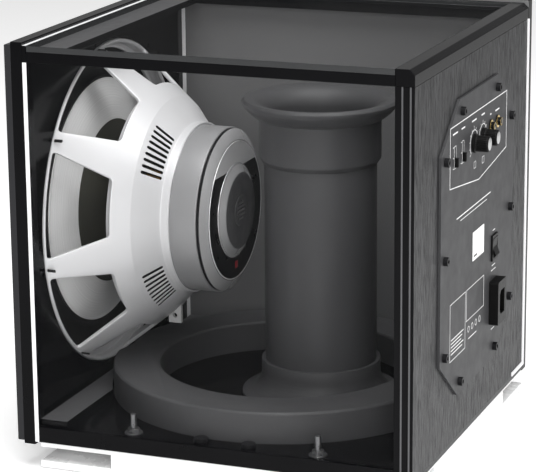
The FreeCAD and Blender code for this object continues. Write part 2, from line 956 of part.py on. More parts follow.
def back_plate():
    """Bevelled rear plate with the pole piece, its raised hub, hub ring and pole vent."""
    y0 = back_plate_y
    y1 = back_face_y
    points = [
        (pole_vent_r, y1 + hub_rise), (hub_top_r, y1 + hub_rise),
        (hub_ring_r - hub_ring_w, y1 + hub_ring_t), (hub_ring_r, y1 + hub_ring_t), (hub_ring_r, y1),
        (back_plate_r - back_bevel_r, y1), (back_plate_r, y1 - back_bevel), (back_plate_r, y0),
        (pole_r, y0), (pole_r, motor_y), (pole_vent_r, motor_y),
    ]
    return revolve_driver_points(points)


def rear_label():
    """Thin disc on the rear plate, cut away above a chord."""
    y0 = front_y + back_face_y
    disc = tube_y(0, driver_axis_z, label_r, hub_ring_r + label_gap, y0, y0 + label_t)
    cut = box(-label_r - OVER, label_r + OVER, y0 - OVER, y0 + label_t + OVER,
              driver_axis_z + label_chord_z, driver_axis_z + label_r + OVER)
    return disc.cut(cut)


def vent_mesh():
    """Perforated disc over the pole vent."""
    y0 = front_y + back_face_y + hub_rise
    disc = cyl_y(0, driver_axis_z, pole_vent_r + mesh_land, y0, y0 + mesh_t)
    steps = range(-mesh_rows, mesh_rows + 1)
    places = [(mesh_pitch * i, mesh_pitch * j) for i in steps for j in steps]
    inside = [(x, z) for x, z in places if math.hypot(x, z) < pole_vent_r - mesh_hole_r]
    return disc.cut([cyl_y(x, driver_axis_z + z, mesh_hole_r, y0 - OVER, y0 + mesh_t + OVER)
                     for x, z in inside])


def driver_screws():
    """Socket cap screws through the flange and the baffle."""
    screws = []
    for angle in screw_angles():
        x, z = driver_screw_centre(angle)
        head = cyl_y(x, z, driver_screw_head_r, front_y - driver_screw_head_h, front_y)
        shank = cyl_y(x, z, driver_screw_r, front_y, front_y + driver_screw_len)
        socket = cyl_y(x, z, driver_screw_socket_r, front_y - driver_screw_head_h - OVER,
                       front_y - driver_screw_socket_floor)
        screws.append(head.fuse(shank).cut(socket))
    return group(screws)


def terminal_block(frame):
    """Connection plate that stands on the basket's shoulder, under the motor."""
    y0 = front_y + terminal_y
    low = driver_axis_z - shoulder_r - terminal_h
    plate = box(-terminal_t / 2, terminal_t / 2, y0, y0 + terminal_w, low, driver_axis_z - seat_r)
    y_mid = y0 + terminal_w / 2
    hole = Part.makeCylinder(terminal_hole_r, terminal_t + 2 * OVER,
                             Vec(-terminal_t / 2 - OVER, y_mid, low + terminal_hole_up), X_AXIS)
    pieces = plate.cut(hole).cut(frame).Solids
    return min(pieces, key=lambda piece: piece.BoundBox.ZMin)


# ---------------------------------------------------------------- port
def revolve_port(edges):
    return closed_face(edges).revolve(Vec(0, port_y, 0), Z_AXIS, 360)


def port_point(r, z):
    return Vec(r, port_y, z)


def port_tube():
    low = inner_floor_z + mouth_flare_h - tube_seat
    return tube_z(0, port_y, port_r, port_r - port_wall, low, port_rim_z - tube_top_drop)


def port_top_flare():
    """Flared inlet with a collar that sleeves the tube's upper end."""
    z1 = port_rim_z
    z_lip = z1 - port_rim_t
    z_neck = z_lip - (port_flare_h - port_rim_t)
    z_low = z_neck - collar_len
    r_in = port_r + collar_gap
    bore = port_r - port_wall
    p = port_point
    tube_end = port_rim_z - tube_top_drop
    edges = [
        line(p(bore, tube_end), p(bore, z_neck)),
        arc(p(bore, z_neck), p(bore + throat_curve_r, z1 - throat_curve_drop),
            p(port_rim_r - rim_edge, z1)),
        line(p(port_rim_r - rim_edge, z1), p(port_rim_r, z1 - rim_edge)),
        line(p(port_rim_r, z1 - rim_edge), p(port_rim_r - rim_under, z_lip)),
        arc(p(port_rim_r - rim_under, z_lip), p(collar_r + neck_curve_r, z_lip - neck_curve_drop),
            p(collar_r, z_neck)),
        line(p(collar_r, z_neck), p(collar_r, z_low + collar_chamfer)),
        line(p(collar_r, z_low + collar_chamfer), p(r_in + collar_lip, z_low)),
        line(p(r_in + collar_lip, z_low), p(r_in, z_low)),
        line(p(r_in, z_low), p(r_in, tube_end)),
        line(p(r_in, tube_end), p(bore, tube_end)),
    ]
    return revolve_port(edges)


def port_bottom_flare():
    """Flared outlet through the bottom board and the plinth's top plate."""
    z0 = floor_z - plinth_top_t
    z_seat = inner_floor_z
    z_neck = inner_floor_z + mouth_flare_h
    bore = port_r - port_wall
    tube_low = z_neck - tube_seat
    p = port_point
    out = port_r + port_wall
    flange = mouth_r + foot_flange_w
    flange_z = z_seat + foot_flange_t
    collar_low = z_neck - foot_collar_h
    edges = [
        line(p(bore, tube_low), p(port_r + collar_gap, tube_low)),
        line(p(port_r + collar_gap, tube_low), p(port_r + collar_gap, z_neck)),
        line(p(port_r + collar_gap, z_neck), p(out, z_neck)),
        line(p(out, z_neck), p(out, collar_low)),
        arc(p(out, collar_low), p(out + foot_curve_r, z_seat + foot_curve_h), p(flange, flange_z)),
        line(p(flange, flange_z), p(flange, z_seat)),
        line(p(flange, z_seat), p(mouth_r, z_seat)),
        line(p(mouth_r, z_seat), p(mouth_r, z0)),
        line(p(mouth_r, z0), p(mouth_r - mouth_edge, z0)),
        arc(p(mouth_r - mouth_edge, z0), p(bore + mouth_curve_r, z_seat + mouth_curve_h),
            p(bore, tube_low)),
    ]
    return revolve_port(edges)


def floor_ring():
    """Brace ring round the port's mouth, relieved where the basket passes over it."""
    ring = tube_z(0, ring_y, ring_out_r, ring_in_r, inner_floor_z, inner_floor_z + ring_h)
    top = [e for e in ring.Edges if e.BoundBox.ZMin > inner_floor_z + ring_h - 0.1]
    circles = [e for e in top if isinstance(e.Curve, Part.Circle)]
    ring = ring.makeFillet(ring_round, circles)
    r0 = barrel_r + ring_clear
    r1 = window_root_r + ring_clear
    start = Vec(0, front_y + barrel_len, driver_axis_z)
    relief = Part.makeCone(r0, r1, window_root_y - barrel_len, start, Y_AXIS)
    return ring.cut(relief)


# ---------------------------------------------------------------- amplifier
def amp_plate():
    plate = polygon_face(amp_outline(0)).extrude(Vec(0, amp_plate_t, 0))
    y0, y1 = rear_y - OVER, amp_y + OVER
    for x, z in amp_screw_places():
        plate = plate.cut(cyl_y(x, z, amp_screw_r, y0, y1))
    for x in knob_x:
        plate = plate.cut(cyl_y(x, floor_z + knob_z, shaft_r + bush_wall + bush_gap, y0, y1))
    for x in switch_x:
        z = floor_z + switch_z
        plate = plate.cut(box(x - switch_slot_w / 2, x + switch_slot_w / 2, y0, y1,
                              z - switch_slot_h / 2, z + switch_slot_h / 2))
    for x in jack_x:
        plate = plate.cut(cyl_y(x, floor_z + jack_z, jack_r + panel_gap, y0, y1))
    w = rocker_w / 2 + sleeve_wall + panel_gap
    h = rocker_h / 2 + sleeve_wall + panel_gap
    z = floor_z + rocker_z
    plate = plate.cut(box(rocker_x - w, rocker_x + w, y0, y1, z - h, z + h))
    w = socket_w / 2 + socket_wall + panel_gap
    h = socket_h / 2 + socket_wall + panel_gap
    z = floor_z + inlet_z
    return plate.cut(box(inlet_x - w, inlet_x + w, y0, y1, z - h, z + h))


def amp_tray():
    """Open folded tray behind the plate, inside the rear board's opening."""
    w, h = tray_w / 2, tray_h / 2
    y0 = rear_y - tray_depth
    outer = box(-w, w, y0, rear_y, amp_axis_z - h, amp_axis_z + h)
    t = tray_wall
    inner = box(-w + t, w - t, y0 + t, rear_y + OVER, amp_axis_z - h + t, amp_axis_z + h - t)
    return outer.cut(inner)


def pcb():
    w = tray_w / 2 - board_inset
    h = tray_h / 2 - board_inset
    y0 = rear_y - tray_depth + tray_wall + pcb_standoff
    board = box(-w, w, y0, y0 + pcb_t, amp_axis_z - h, amp_axis_z + h)
    return board


def board_face():
    return rear_y - tray_depth + tray_wall + pcb_standoff + pcb_t


def transformer():
    y0 = board_face()
    return tube_y(transformer_x, floor_z + transformer_z, transformer_r, transformer_bore_r,
                  y0, y0 + transformer_t)


def heat_sink():
    y0 = board_face()
    z0 = floor_z + sink_z
    sink = box(sink_x, sink_x + sink_w, y0, y0 + sink_base, z0, z0 + sink_h)
    pitch = (sink_w - sink_fin_t) / (sink_fins - 1)
    fins = []
    for k in range(sink_fins):
        x = sink_x + pitch * k
        fins.append(box(x, x + sink_fin_t, y0 + sink_base, y0 + sink_depth, z0, z0 + sink_h))
    return sink.fuse(fins).removeSplitter()


def capacitors():
    y0 = board_face()
    places = [(cap_x - cap_pitch * i, cap_z + cap_pitch * j) for i in (0, 1) for j in (0, 1)]
    return group([cyl_y(x, floor_z + z, cap_can_r, y0, y0 + cap_can_len) for x, z in places])


def amp_screws():
    """Socket cap screws that hold the plate to the rear board."""
    screws = []
    for x, z in amp_screw_places():
        top = amp_y + amp_screw_head_h
        head = cyl_y(x, z, amp_screw_head_r, amp_y, top)
        shank = cyl_y(x, z, amp_screw_r, amp_y - amp_screw_len, amp_y)
        screws.append(head.fuse(shank).cut(hex_socket_y(x, z, top, hex_r, hex_depth)))
    return group(screws)


def knob(x):
    """Knob with a skirt, pressed on its potentiometer's shaft."""
    z = floor_z + knob_z
    y0 = amp_y + knob_gap
    y1 = rear_y + knob_proud
    skirt = cyl_y(x, z, knob_skirt_r, y0, y0 + knob_skirt_h)
    body = cyl_y(x, z, knob_r, y0 + knob_skirt_h, y1)
    tip = [e for e in body.Edges if isinstance(e.Curve, Part.Circle) and e.BoundBox.YMin > y1 - knob_edge]
    body = body.makeChamfer(knob_edge, tip)
    bore = cyl_y(x, z, shaft_r, rear_y, y1 - knob_end_t)
    return skirt.fuse(body).cut(bore).removeSplitter()


def knob_shaft(x):
    return cyl_y(x, floor_z + knob_z, shaft_r, rear_y - shaft_in, rear_y + knob_proud - knob_end_t)


def pot(x):
    """Potentiometer body with the bush its shaft turns in."""
    z = floor_z + knob_z
    hole = shaft_r + shaft_hole_gap
    body = cyl_y(x, z, pot_r, rear_y - pot_depth, rear_y)
    bush = cyl_y(x, z, shaft_r + bush_wall, rear_y, amp_y)
    bore = cyl_y(x, z, hole, rear_y - shaft_in - joint_gap, amp_y + OVER)
    return body.fuse(bush).cut(bore).removeSplitter()


def switch_housing(x):
    z = floor_z + switch_z
    w, h = switch_body_w / 2, switch_body_h / 2
    body = box(x - w, x + w, rear_y - switch_body_d, rear_y, z - h, z + h)
    sw, sh = switch_slot_w / 2, switch_slot_h / 2
    return body.cut(box(x - sw, x + sw, rear_y - slot_in, rear_y + OVER, z - sh, z + sh))


def switch_slider(x):
    """Slider at the lower end of its slot."""
    low = floor_z + switch_z - switch_slot_h / 2 + slider_end_gap
    w = slider_w / 2
    tip_y = amp_y + slider_proud
    stem = box(x - w, x + w, rear_y - slider_in, tip_y, low, low + slider_h)
    return stem.makeChamfer(slider_edge, [e for e in stem.Edges if e.BoundBox.YMin > tip_y - slider_edge])


def signal_jack(x):
    """Round signal socket: threaded barrel with a collar and a bore."""
    z = floor_z + jack_z
    barrel = cyl_y(x, z, jack_r, rear_y - jack_in, amp_y + jack_proud)
    collar = cyl_y(x, z, jack_base_r, amp_y, amp_y + jack_base_t)
    bore = cyl_y(x, z, jack_bore_r, amp_y + jack_proud - jack_bore_depth, amp_y + jack_proud + OVER)
    return barrel.fuse(collar).cut(bore).removeSplitter()


def rocker_bezel():
    z = floor_z + rocker_z
    w, h = bezel_w / 2, bezel_h / 2
    frame = box(rocker_x - w, rocker_x + w, amp_y, amp_y + bezel_t, z - h, z + h)
    sleeve_w = rocker_w / 2 + sleeve_wall
    sleeve_h = rocker_h / 2 + sleeve_wall
    frame = frame.fuse(box(rocker_x - sleeve_w, rocker_x + sleeve_w, rear_y - sleeve_depth, amp_y,
                           z - sleeve_h, z + sleeve_h))
    hole_w = rocker_w / 2 + rocker_gap
    hole_h = rocker_h / 2 + rocker_gap
    hole_y = rear_y - sleeve_depth + sleeve_floor
    frame = frame.cut(box(rocker_x - hole_w, rocker_x + hole_w, hole_y, amp_y + bezel_t + OVER,
                          z - hole_h, z + hole_h))
    half_pin = rocker_w / 2 + pin_reach + pin_end_gap
    pin = Part.makeCylinder(rocker_pin_r + shaft_hole_gap, 2 * half_pin,
                            Vec(rocker_x - half_pin, amp_y - rocker_pivot_in, z), X_AXIS)
    return frame.cut(pin).removeSplitter()


def power_rocker():
    """Rocker with two faces, tipped to its off side about the pin across it."""
    z = floor_z + rocker_z
    w = rocker_w / 2
    h = rocker_h / 2 - rocker_end_gap
    y_pivot = amp_y - rocker_pivot_in
    y_foot = y_pivot - rocker_foot_in
    y_tip = amp_y + bezel_t + rocker_lip
    points = [
        Vec(rocker_x - w, y_foot, z - rocker_foot_h), Vec(rocker_x - w, y_tip, z - h),
        Vec(rocker_x - w, y_tip - rocker_dip, z), Vec(rocker_x - w, y_tip, z + h),
        Vec(rocker_x - w, y_foot, z + rocker_foot_h),
    ]
    body = polygon_face(points).extrude(Vec(rocker_w, 0, 0))
    half_pin = w + pin_reach
    pin = Part.makeCylinder(rocker_pin_r, 2 * half_pin, Vec(rocker_x - half_pin, y_pivot, z), X_AXIS)
    body = body.fuse(pin)
    body.rotate(Vec(rocker_x, y_pivot, z), X_AXIS, rocker_tilt_deg)
    return body


def inlet_socket_face(z, y0):
    w, h, c = socket_w / 2, socket_h / 2, socket_corner
    pairs = [(-w, -h), (w - c, -h), (w, -h + c), (w, h - c), (w - c, h), (-w, h)]
    return polygon_face([Vec(inlet_x + x, y0, z + dz) for x, dz in pairs])


def mains_inlet():
    """Mains inlet housing that stands proud of the plate, with a shaped socket."""
    z = floor_z + inlet_z
    w, h = inlet_w / 2, inlet_h / 2
    body = box(inlet_x - w, inlet_x + w, amp_y, amp_y + inlet_proud, z - h, z + h)
    upright = [e for e in body.Edges if abs(e.Vertexes[0].Y - e.Vertexes[-1].Y) > OVER]
    body = body.makeFillet(inlet_corner_r, upright)
    back_w = socket_w / 2 + socket_wall
    back_h = socket_h / 2 + socket_wall
    body = body.fuse(box(inlet_x - back_w, inlet_x + back_w, amp_y - inlet_depth, amp_y,
                         z - back_h, z + back_h))
    y_in = amp_y + inlet_proud - socket_depth
    body = body.cut(inlet_socket_face(z, y_in).extrude(Vec(0, socket_depth + OVER, 0)))
    return body.removeSplitter()


def inlet_pins():
    z = floor_z + inlet_z
    y_in = amp_y + inlet_proud - socket_depth
    places = [(pin_line_x, -pin_spread), (pin_line_x, pin_spread), (earth_pin_x, 0.0)]
    pins = [box(inlet_x + x - pin_w / 2, inlet_x + x + pin_w / 2, y_in, y_in + pin_len,
                z + dz - pin_h / 2, z + dz + pin_h / 2) for x, dz in places]
    return group(pins)


def badge():
    z = floor_z + badge_z
    return box(-badge_w / 2, badge_w / 2, amp_y, amp_y + badge_t, z - badge_h / 2, z + badge_h / 2)


# ---------------------------------------------------------------- output
def all_parts():
    frame = basket()
    parts = {
        "front_plate": front_plate(),
        "front_baffle": front_baffle(),
        "bottom_board": bottom_board(),
        "far_side_board": far_side_board(),
        "rear_board": rear_board(),
        "rear_trim_strips": group(inlay_boxes() + [rear_trim()]),
        "top_rails": group([top_rail_near(), top_rail_far()]),
        "top_rail_rear": top_rail_rear(),
        "clear_top_panel": top_panel(),
        "clear_side_panel": side_panel(),
        "cleats": group(floor_cleats().Solids + [top_cleat()]),
        "plinth_top_plate": plinth_top_plate(),
        "plinth_base_plate": plinth_base_plate(),
        "foot_bolts": foot_bolts(),
        "foot_nuts": group(foot_washers() + foot_nuts()),
        "board_screws": board_screws(),
        "driver_basket": frame,
        "driver_gasket": gasket(),
        "driver_surround": surround(),
        "driver_cone": cone(),
        "cone_neck": cone_neck(),
        "dust_cap": dust_cap(),
        "voice_coil_former": coil_former(),
        "voice_coil_winding": coil_winding(),
        "driver_spider": spider(),
        "motor_top_plate": top_plate(),
        "ring_magnet": magnet(),
        "motor_back_plate": back_plate(),
        "motor_label": rear_label(),
        "pole_vent_mesh": vent_mesh(),
        "driver_screws": driver_screws(),
        "terminal_block": terminal_block(frame),
        "port_tube": port_tube(),
        "port_top_flare": port_top_flare(),
        "port_bottom_flare": port_bottom_flare(),
        "floor_ring": floor_ring(),
        "amp_plate": amp_plate(),
        "amp_tray": amp_tray(),
        "amp_circuit_board": pcb(),
        "amp_transformer": transformer(),
        "amp_heat_sink": heat_sink(),
        "amp_capacitors": capacitors(),
        "amp_screws": amp_screws(),
        "rocker_bezel": rocker_bezel(),
        "power_rocker": power_rocker(),
        "mains_inlet": mains_inlet(),
        "inlet_pins": inlet_pins(),
        "badge_plate": badge(),
    }
    return parts


def named_repeats():
    parts = {
        "trim_frame": group([trim_strip(side) for side in range(4)]),
        "plinth_blocks": group([plinth_block_side(1), plinth_block_side(-1),
                                plinth_block_end(1), plinth_block_end(-1)]),
        "foot_pads": group([foot_pad(x, y) for x, y in foot_pad_places()]),
        "potentiometers": group([pot(x) for x in knob_x]),
        "slide_switch_housings": group([switch_housing(x) for x in switch_x]),
        "signal_jacks": group([signal_jack(x) for x in jack_x]),
    }
    for name, x in (("level", knob_x[0]), ("crossover", knob_x[1])):
        parts[name + "_knob"] = knob(x)
        parts[name + "_shaft"] = knob_shaft(x)
    for name, x in (("phase", switch_x[0]), ("mode", switch_x[1])):
        parts[name + "_switch_slider"] = switch_slider(x)
    return parts


def main():
    os.makedirs("parts", exist_ok=True)
    parts = all_parts()
    parts.update(named_repeats())
    for name, shape in parts.items():
        shape.exportStep("parts/" + name + ".step")
        print(name, len(shape.Solids), shape.isValid(), round(shape.Volume / 1000, 2))
    print(len(parts), "nodes")


main()
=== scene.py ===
import json
import math

import bmesh
import bpy
from mathutils import Matrix, Vector


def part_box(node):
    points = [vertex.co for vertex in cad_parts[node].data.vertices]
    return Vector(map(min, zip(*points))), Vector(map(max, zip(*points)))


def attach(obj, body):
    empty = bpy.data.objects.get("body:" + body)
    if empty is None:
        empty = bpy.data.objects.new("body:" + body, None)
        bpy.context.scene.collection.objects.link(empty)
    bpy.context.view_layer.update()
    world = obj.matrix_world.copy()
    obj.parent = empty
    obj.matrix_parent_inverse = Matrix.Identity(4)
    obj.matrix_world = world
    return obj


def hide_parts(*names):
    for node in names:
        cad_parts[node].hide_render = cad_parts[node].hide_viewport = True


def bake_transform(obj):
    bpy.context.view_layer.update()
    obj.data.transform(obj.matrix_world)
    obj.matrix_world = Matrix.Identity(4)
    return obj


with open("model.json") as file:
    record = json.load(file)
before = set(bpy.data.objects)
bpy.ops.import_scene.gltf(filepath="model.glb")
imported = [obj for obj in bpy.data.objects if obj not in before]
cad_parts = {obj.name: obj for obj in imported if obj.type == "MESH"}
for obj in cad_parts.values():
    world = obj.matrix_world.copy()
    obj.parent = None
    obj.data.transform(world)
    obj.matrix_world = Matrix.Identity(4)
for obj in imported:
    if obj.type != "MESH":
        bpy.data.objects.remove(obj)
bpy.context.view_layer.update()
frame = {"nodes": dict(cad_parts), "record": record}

MM = 0.001
NODES = frame["nodes"]
RECORD = frame["record"]
BODY_OF = {n: body for body, names in RECORD["behaviour"]["bodies"].items() for n in names}
SLOT_OF = {s["node"]: s["material_slot"] for s in RECORD["subparts"]}


def span(node):
    """Lowest and highest corner of a CAD node in millimetres."""
    low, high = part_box(node)
    return low / MM, high / MM


# ------------------------------------------------------------ places read from the frame
FRONT_Y = span("front_plate")[0].y
AMP_Y = span("amp_plate")[1].y
FLOOR_Z = span("bottom_board")[0].z
INNER_Z = span("bottom_board")[1].z
AXIS_Z = (span("driver_basket")[0].z + span("driver_basket")[1].z) / 2
PORT_Y = (span("port_tube")[0].y + span("port_tube")[1].y) / 2
RIM_Z = span("port_top_flare")[1].z
BASE_Z = span("plinth_top_plate")[0].z

# ------------------------------------------------------------ meshing
WELD = 0.002 * MM           # points closer than this are one
SLIVER = 0.001 * MM         # edges shorter than this are taken out
CORNER_SHARE = 0.45         # the most of a side that the rounding of its corner takes
GAP = 0.02                  # in millimetres: a thin piece stands this far off the face it lies on


# ------------------------------------------------------------ materials
class Finish:
    """A material under construction: its node tree, its shader and short helpers."""

    def __init__(self, name, color, rough, metal=0.0, sheen=0.5):
        self.mat = bpy.data.materials.new(name)
        self.mat.use_nodes = True
        self.tree = self.mat.node_tree
        self.shader = self.tree.nodes["Principled BSDF"]
        self.set("Base Color", (*color, 1.0))
        self.set("Roughness", rough)
        self.set("Metallic", metal)
        self.set("Specular IOR Level", sheen)

    def set(self, socket, value):
        self.shader.inputs[socket].default_value = value

    def node(self, kind, **values):
        made = self.tree.nodes.new(kind)
        for key, value in values.items():
            setattr(made, key, value)
        return made

    def link(self, a, b):
        self.tree.links.new(a, b)

    def place(self, stretch=(1, 1, 1)):
        coord = self.node("ShaderNodeTexCoord")
        mapping = self.node("ShaderNodeMapping")
        mapping.inputs["Scale"].default_value = stretch
        self.link(coord.outputs["Object"], mapping.inputs["Vector"])
        return mapping.outputs["Vector"]

    def noise(self, scale, stretch=(1, 1, 1), detail=4.0, rough=0.55):
        tex = self.node("ShaderNodeTexNoise")
        tex.inputs["Scale"].default_value = scale
        tex.inputs["Detail"].default_value = detail
        tex.inputs["Roughness"].default_value = rough
        self.link(self.place(stretch), tex.inputs["Vector"])
        return tex.outputs["Fac"]

    def span(self, value, low, high, out_low, out_high):
        rng = self.node("ShaderNodeMapRange")
        rng.inputs["From Min"].default_value = low
        rng.inputs["From Max"].default_value = high
        rng.inputs["To Min"].default_value = out_low
        rng.inputs["To Max"].default_value = out_high
        self.link(value, rng.inputs["Value"])
        return rng.outputs["Result"]

    def mix(self, fac, a, b):
        mixed = self.node("ShaderNodeMix", data_type="RGBA")
        self.link(fac, mixed.inputs[0])
        for socket, value in ((6, a), (7, b)):
            if isinstance(value, tuple):
                mixed.inputs[socket].default_value = (*value, 1.0)
            else:
                self.link(value, mixed.inputs[socket])
        return mixed.outputs[2]

    def color(self, fac, a, b):
        self.link(self.mix(fac, a, b), self.shader.inputs["Base Color"])

    def rough(self, value):
        self.link(value, self.shader.inputs["Roughness"])

    def bump(self, height, strength, distance):
        node = self.node("ShaderNodeBump")
        node.inputs["Strength"].default_value = strength
        node.inputs["Distance"].default_value = distance * MM
        self.link(height, node.inputs["Height"])
        self.link(node.outputs["Normal"], self.shader.inputs["Normal"])


def tone(color, factor):
    return tuple(min(1.0, c * factor) for c in color)


def plain(name, color, rough, metal=0.0, vary=0.12, patch=18.0, grain=900.0, relief=0.1, swing=0.05,
          stretch=(1, 1, 1), coat=0.0, coat_rough=0.05, sheen=0.5):
    """A finish with patchy colour, patchy roughness and a fine grain, at real scale."""
    f = Finish(name, color, rough, metal, sheen)
    patches = f.span(f.noise(patch, stretch), 0.3, 0.7, 0.0, 1.0)
    fine = f.noise(grain, stretch, detail=2.0)
    both = f.node("ShaderNodeMath", operation="MULTIPLY_ADD")
    f.link(fine, both.inputs[0])
    both.inputs[1].default_value = 0.45
    f.link(f.span(patches, 0.0, 1.0, 0.0, 0.55), both.inputs[2])
    f.color(both.outputs[0], tone(color, 1 - vary), tone(color, 1 + vary))
    f.rough(f.span(f.noise(patch * 3, stretch), 0.3, 0.7, max(0.02, rough - swing), rough + swing))
    f.bump(fine, 0.35, relief)
    if coat:
        f.set("Coat Weight", coat)
        f.set("Coat Roughness", coat_rough)
    return f


def wood_film(name):
    """Black ash film: long vertical strands with short open pores."""
    f = Finish(name, (0.04, 0.04, 0.042), 0.42, sheen=0.25)
    strands = f.noise(1.0, (420, 420, 16), detail=6.0, rough=0.7)
    pores = f.span(f.noise(1.0, (1100, 1100, 45), detail=3.0, rough=0.6), 0.50, 0.62, 0.0, 1.0)
    bands = f.span(f.noise(1.0, (38, 38, 1.6), detail=3.0), 0.3, 0.7, 0.75, 1.2)
    base = f.mix(f.span(strands, 0.35, 0.68, 0.0, 1.0), (0.002, 0.002, 0.003), (0.042, 0.042, 0.044))
    mixed = f.mix(f.span(pores, 0.0, 1.0, 0.0, 0.75), base, (0.006, 0.006, 0.006))
    scaled = f.node("ShaderNodeMix", data_type="RGBA", blend_type="MULTIPLY")
    scaled.inputs[0].default_value = 1.0
    f.link(mixed, scaled.inputs[6])
    f.link(bands, scaled.inputs[7])
    f.link(scaled.outputs[2], f.shader.inputs["Base Color"])
    f.rough(f.span(pores, 0.0, 1.0, 0.38, 0.62))
    f.bump(f.span(pores, 0.0, 1.0, 1.0, 0.0), 0.5, 0.25)
    return f


def turned(name, color, rough, center, axis, metal=1.0, lines=2600.0):
    """Turned metal: fine rings about an axis."""
    f = Finish(name, color, rough, metal)
    coord = f.node("ShaderNodeTexCoord")
    shift = f.node("ShaderNodeVectorMath", operation="SUBTRACT")
    shift.inputs[1].default_value = center
    f.link(coord.outputs["Object"], shift.inputs[0])
    flat = f.node("ShaderNodeVectorMath", operation="MULTIPLY")
    flat.inputs[1].default_value = tuple(0.0 if k == axis else 1.0 for k in range(3))
    f.link(shift.outputs[0], flat.inputs[0])
    size = f.node("ShaderNodeVectorMath", operation="LENGTH")
    f.link(flat.outputs[0], size.inputs[0])
    rings = f.node("ShaderNodeTexNoise", noise_dimensions="1D")
    rings.inputs["Scale"].default_value = lines
    rings.inputs["Detail"].default_value = 2.0
    f.link(size.outputs["Value"], rings.inputs["W"])
    fac = rings.outputs["Fac"]
    f.color(f.span(fac, 0.3, 0.7, 0.0, 1.0), tone(color, 0.9), tone(color, 1.06))
    f.rough(f.span(f.noise(60.0), 0.3, 0.7, rough * 0.8, rough * 1.25))
    f.bump(fac, 0.25, 0.02)
    return f


def clear_sheet(name):
    f = Finish(name, (0.02, 0.022, 0.023), 0.03)
    f.set("Alpha", 0.035)
    f.set("IOR", 1.49)
    smears = f.noise(14.0, detail=5.0)
    f.rough(f.span(smears, 0.35, 0.7, 0.02, 0.08))
    f.color(f.span(smears, 0.3, 0.7, 0.0, 1.0), (0.015, 0.017, 0.018), (0.03, 0.032, 0.033))
    f.bump(f.noise(5.0, detail=1.0), 0.05, 0.3)
    return f


DRIVER_CENTER = (0.0, 0.0, AXIS_Z * MM)
LOOKS = {
    "board_black": plain("gloss_black", (0.0025, 0.0025, 0.003), 0.13, vary=0.3, relief=0.01, swing=0.03,
                         sheen=0.08),
    "front_satin": plain("satin_charcoal", (0.024, 0.024, 0.026), 0.33, vary=0.10, relief=0.03, sheen=0.12),
    # Nearly white trim strip: painted highlight along the baffle's bevels, side and top.
    "bright_trim": plain("trim_painted_highlight", (0.86, 0.86, 0.87), 0.32, 0.15, vary=0.05, grain=1400,
                         stretch=(1, 1, 0.05), relief=0.02),
    "black_ash": wood_film("black_ash_film"),
    "clear_panel": clear_sheet("clear_acrylic"),
    "plinth_white": plain("white_lacquer", (0.86, 0.86, 0.86), 0.28, vary=0.03, relief=0.02, coat=0.3),
    "pad_rubber": plain("pad_rubber_look", (0.02, 0.02, 0.02), 0.8, vary=0.2, relief=0.1),
    "bright_steel": plain("zinc_bright", (0.16, 0.16, 0.165), 0.30, 0.9, vary=0.15, patch=90, relief=0.03),
    "black_steel": plain("black_oxide", (0.007, 0.007, 0.008), 0.42, 0.2, vary=0.3, patch=120, relief=0.05,
                         sheen=0.2),
    "cast_silver": plain("silver_casting", (0.60, 0.60, 0.61), 0.40, 0.25, vary=0.04, grain=1600,
                         relief=0.012, swing=0.05),
    "surround_rubber": plain("butyl", (0.011, 0.011, 0.012), 0.55, vary=0.25, grain=1500, relief=0.06),
    "cone_silver": turned("spun_aluminium", (0.88, 0.88, 0.88), 0.45, DRIVER_CENTER, 1, 0.15, 900.0),
    "cone_dark": plain("pressed_fibre", (0.028, 0.028, 0.021), 0.62, vary=0.25, grain=700, relief=0.15),
    "former_amber": plain("polyimide", (0.42, 0.22, 0.05), 0.3, vary=0.15, relief=0.02, coat=0.3),
    "winding_copper": plain("enamel_copper", (0.65, 0.28, 0.12), 0.3, 0.9, stretch=(1, 18, 1), relief=0.1),
    "spider_cloth": plain("dipped_cloth", (0.05, 0.048, 0.035), 0.85, vary=0.3, grain=1500, relief=0.3),
    "motor_steel": plain("polished_plate", (0.82, 0.82, 0.83), 0.22, 0.65, vary=0.04, patch=30, grain=500,
                         relief=0.002, swing=0.03),
    "magnet_grey": plain("ferrite_paint", (0.27, 0.27, 0.275), 0.42, 0.25, vary=0.07, patch=26, grain=1300,
                         relief=0.08),
    "label_black": plain("label_film", (0.004, 0.004, 0.005), 0.3, vary=0.2, relief=0.01, sheen=0.25),
    "mesh_steel": plain("perforated", (0.075, 0.075, 0.078), 0.5, relief=0.03),
    "terminal_grey": plain("terminal_moulding", (0.45, 0.45, 0.45), 0.45, vary=0.1, relief=0.05),
    "port_plastic": plain("port_moulding", (0.047, 0.047, 0.049), 0.52, vary=0.10, patch=9, grain=1700,
                          relief=0.03, swing=0.06, sheen=0.3),
    "amp_paint": plain("powder_coat", (0.040, 0.040, 0.042), 0.5, vary=0.12, grain=2200, relief=0.05,
                       sheen=0.25),
    "pcb_green": plain("solder_mask", (0.01, 0.09, 0.03), 0.3, vary=0.15, patch=60, relief=0.03, coat=0.3),
    "transformer_yellow": plain("wound_tape", (0.50, 0.38, 0.05), 0.4, stretch=(1, 1, 1), relief=0.2),
    "sink_aluminium": plain("extrusion", (0.6, 0.6, 0.61), 0.4, 1.0, stretch=(1, 1, 0.05), relief=0.05),
    "capacitor_sleeve": plain("can_sleeve", (0.015, 0.015, 0.03), 0.3, vary=0.2, relief=0.02),
    "control_black": plain("black_moulding", (0.003, 0.003, 0.003), 0.38, vary=0.25, patch=140, grain=2600,
                           relief=0.03, sheen=0.12),
    "shaft_steel": turned("turned_shaft", (0.6, 0.6, 0.6), 0.3, (0, 0, 0), 0),
    "jack_gold": plain("gold_plate", (0.85, 0.62, 0.22), 0.22, 1.0, vary=0.1, patch=200, relief=0.02),
    "pin_brass": plain("pin_plate", (0.75, 0.66, 0.45), 0.3, 1.0, vary=0.1, relief=0.02),
    "badge_white": plain("badge_enamel", (0.85, 0.85, 0.85), 0.3, vary=0.03, relief=0.02),
}
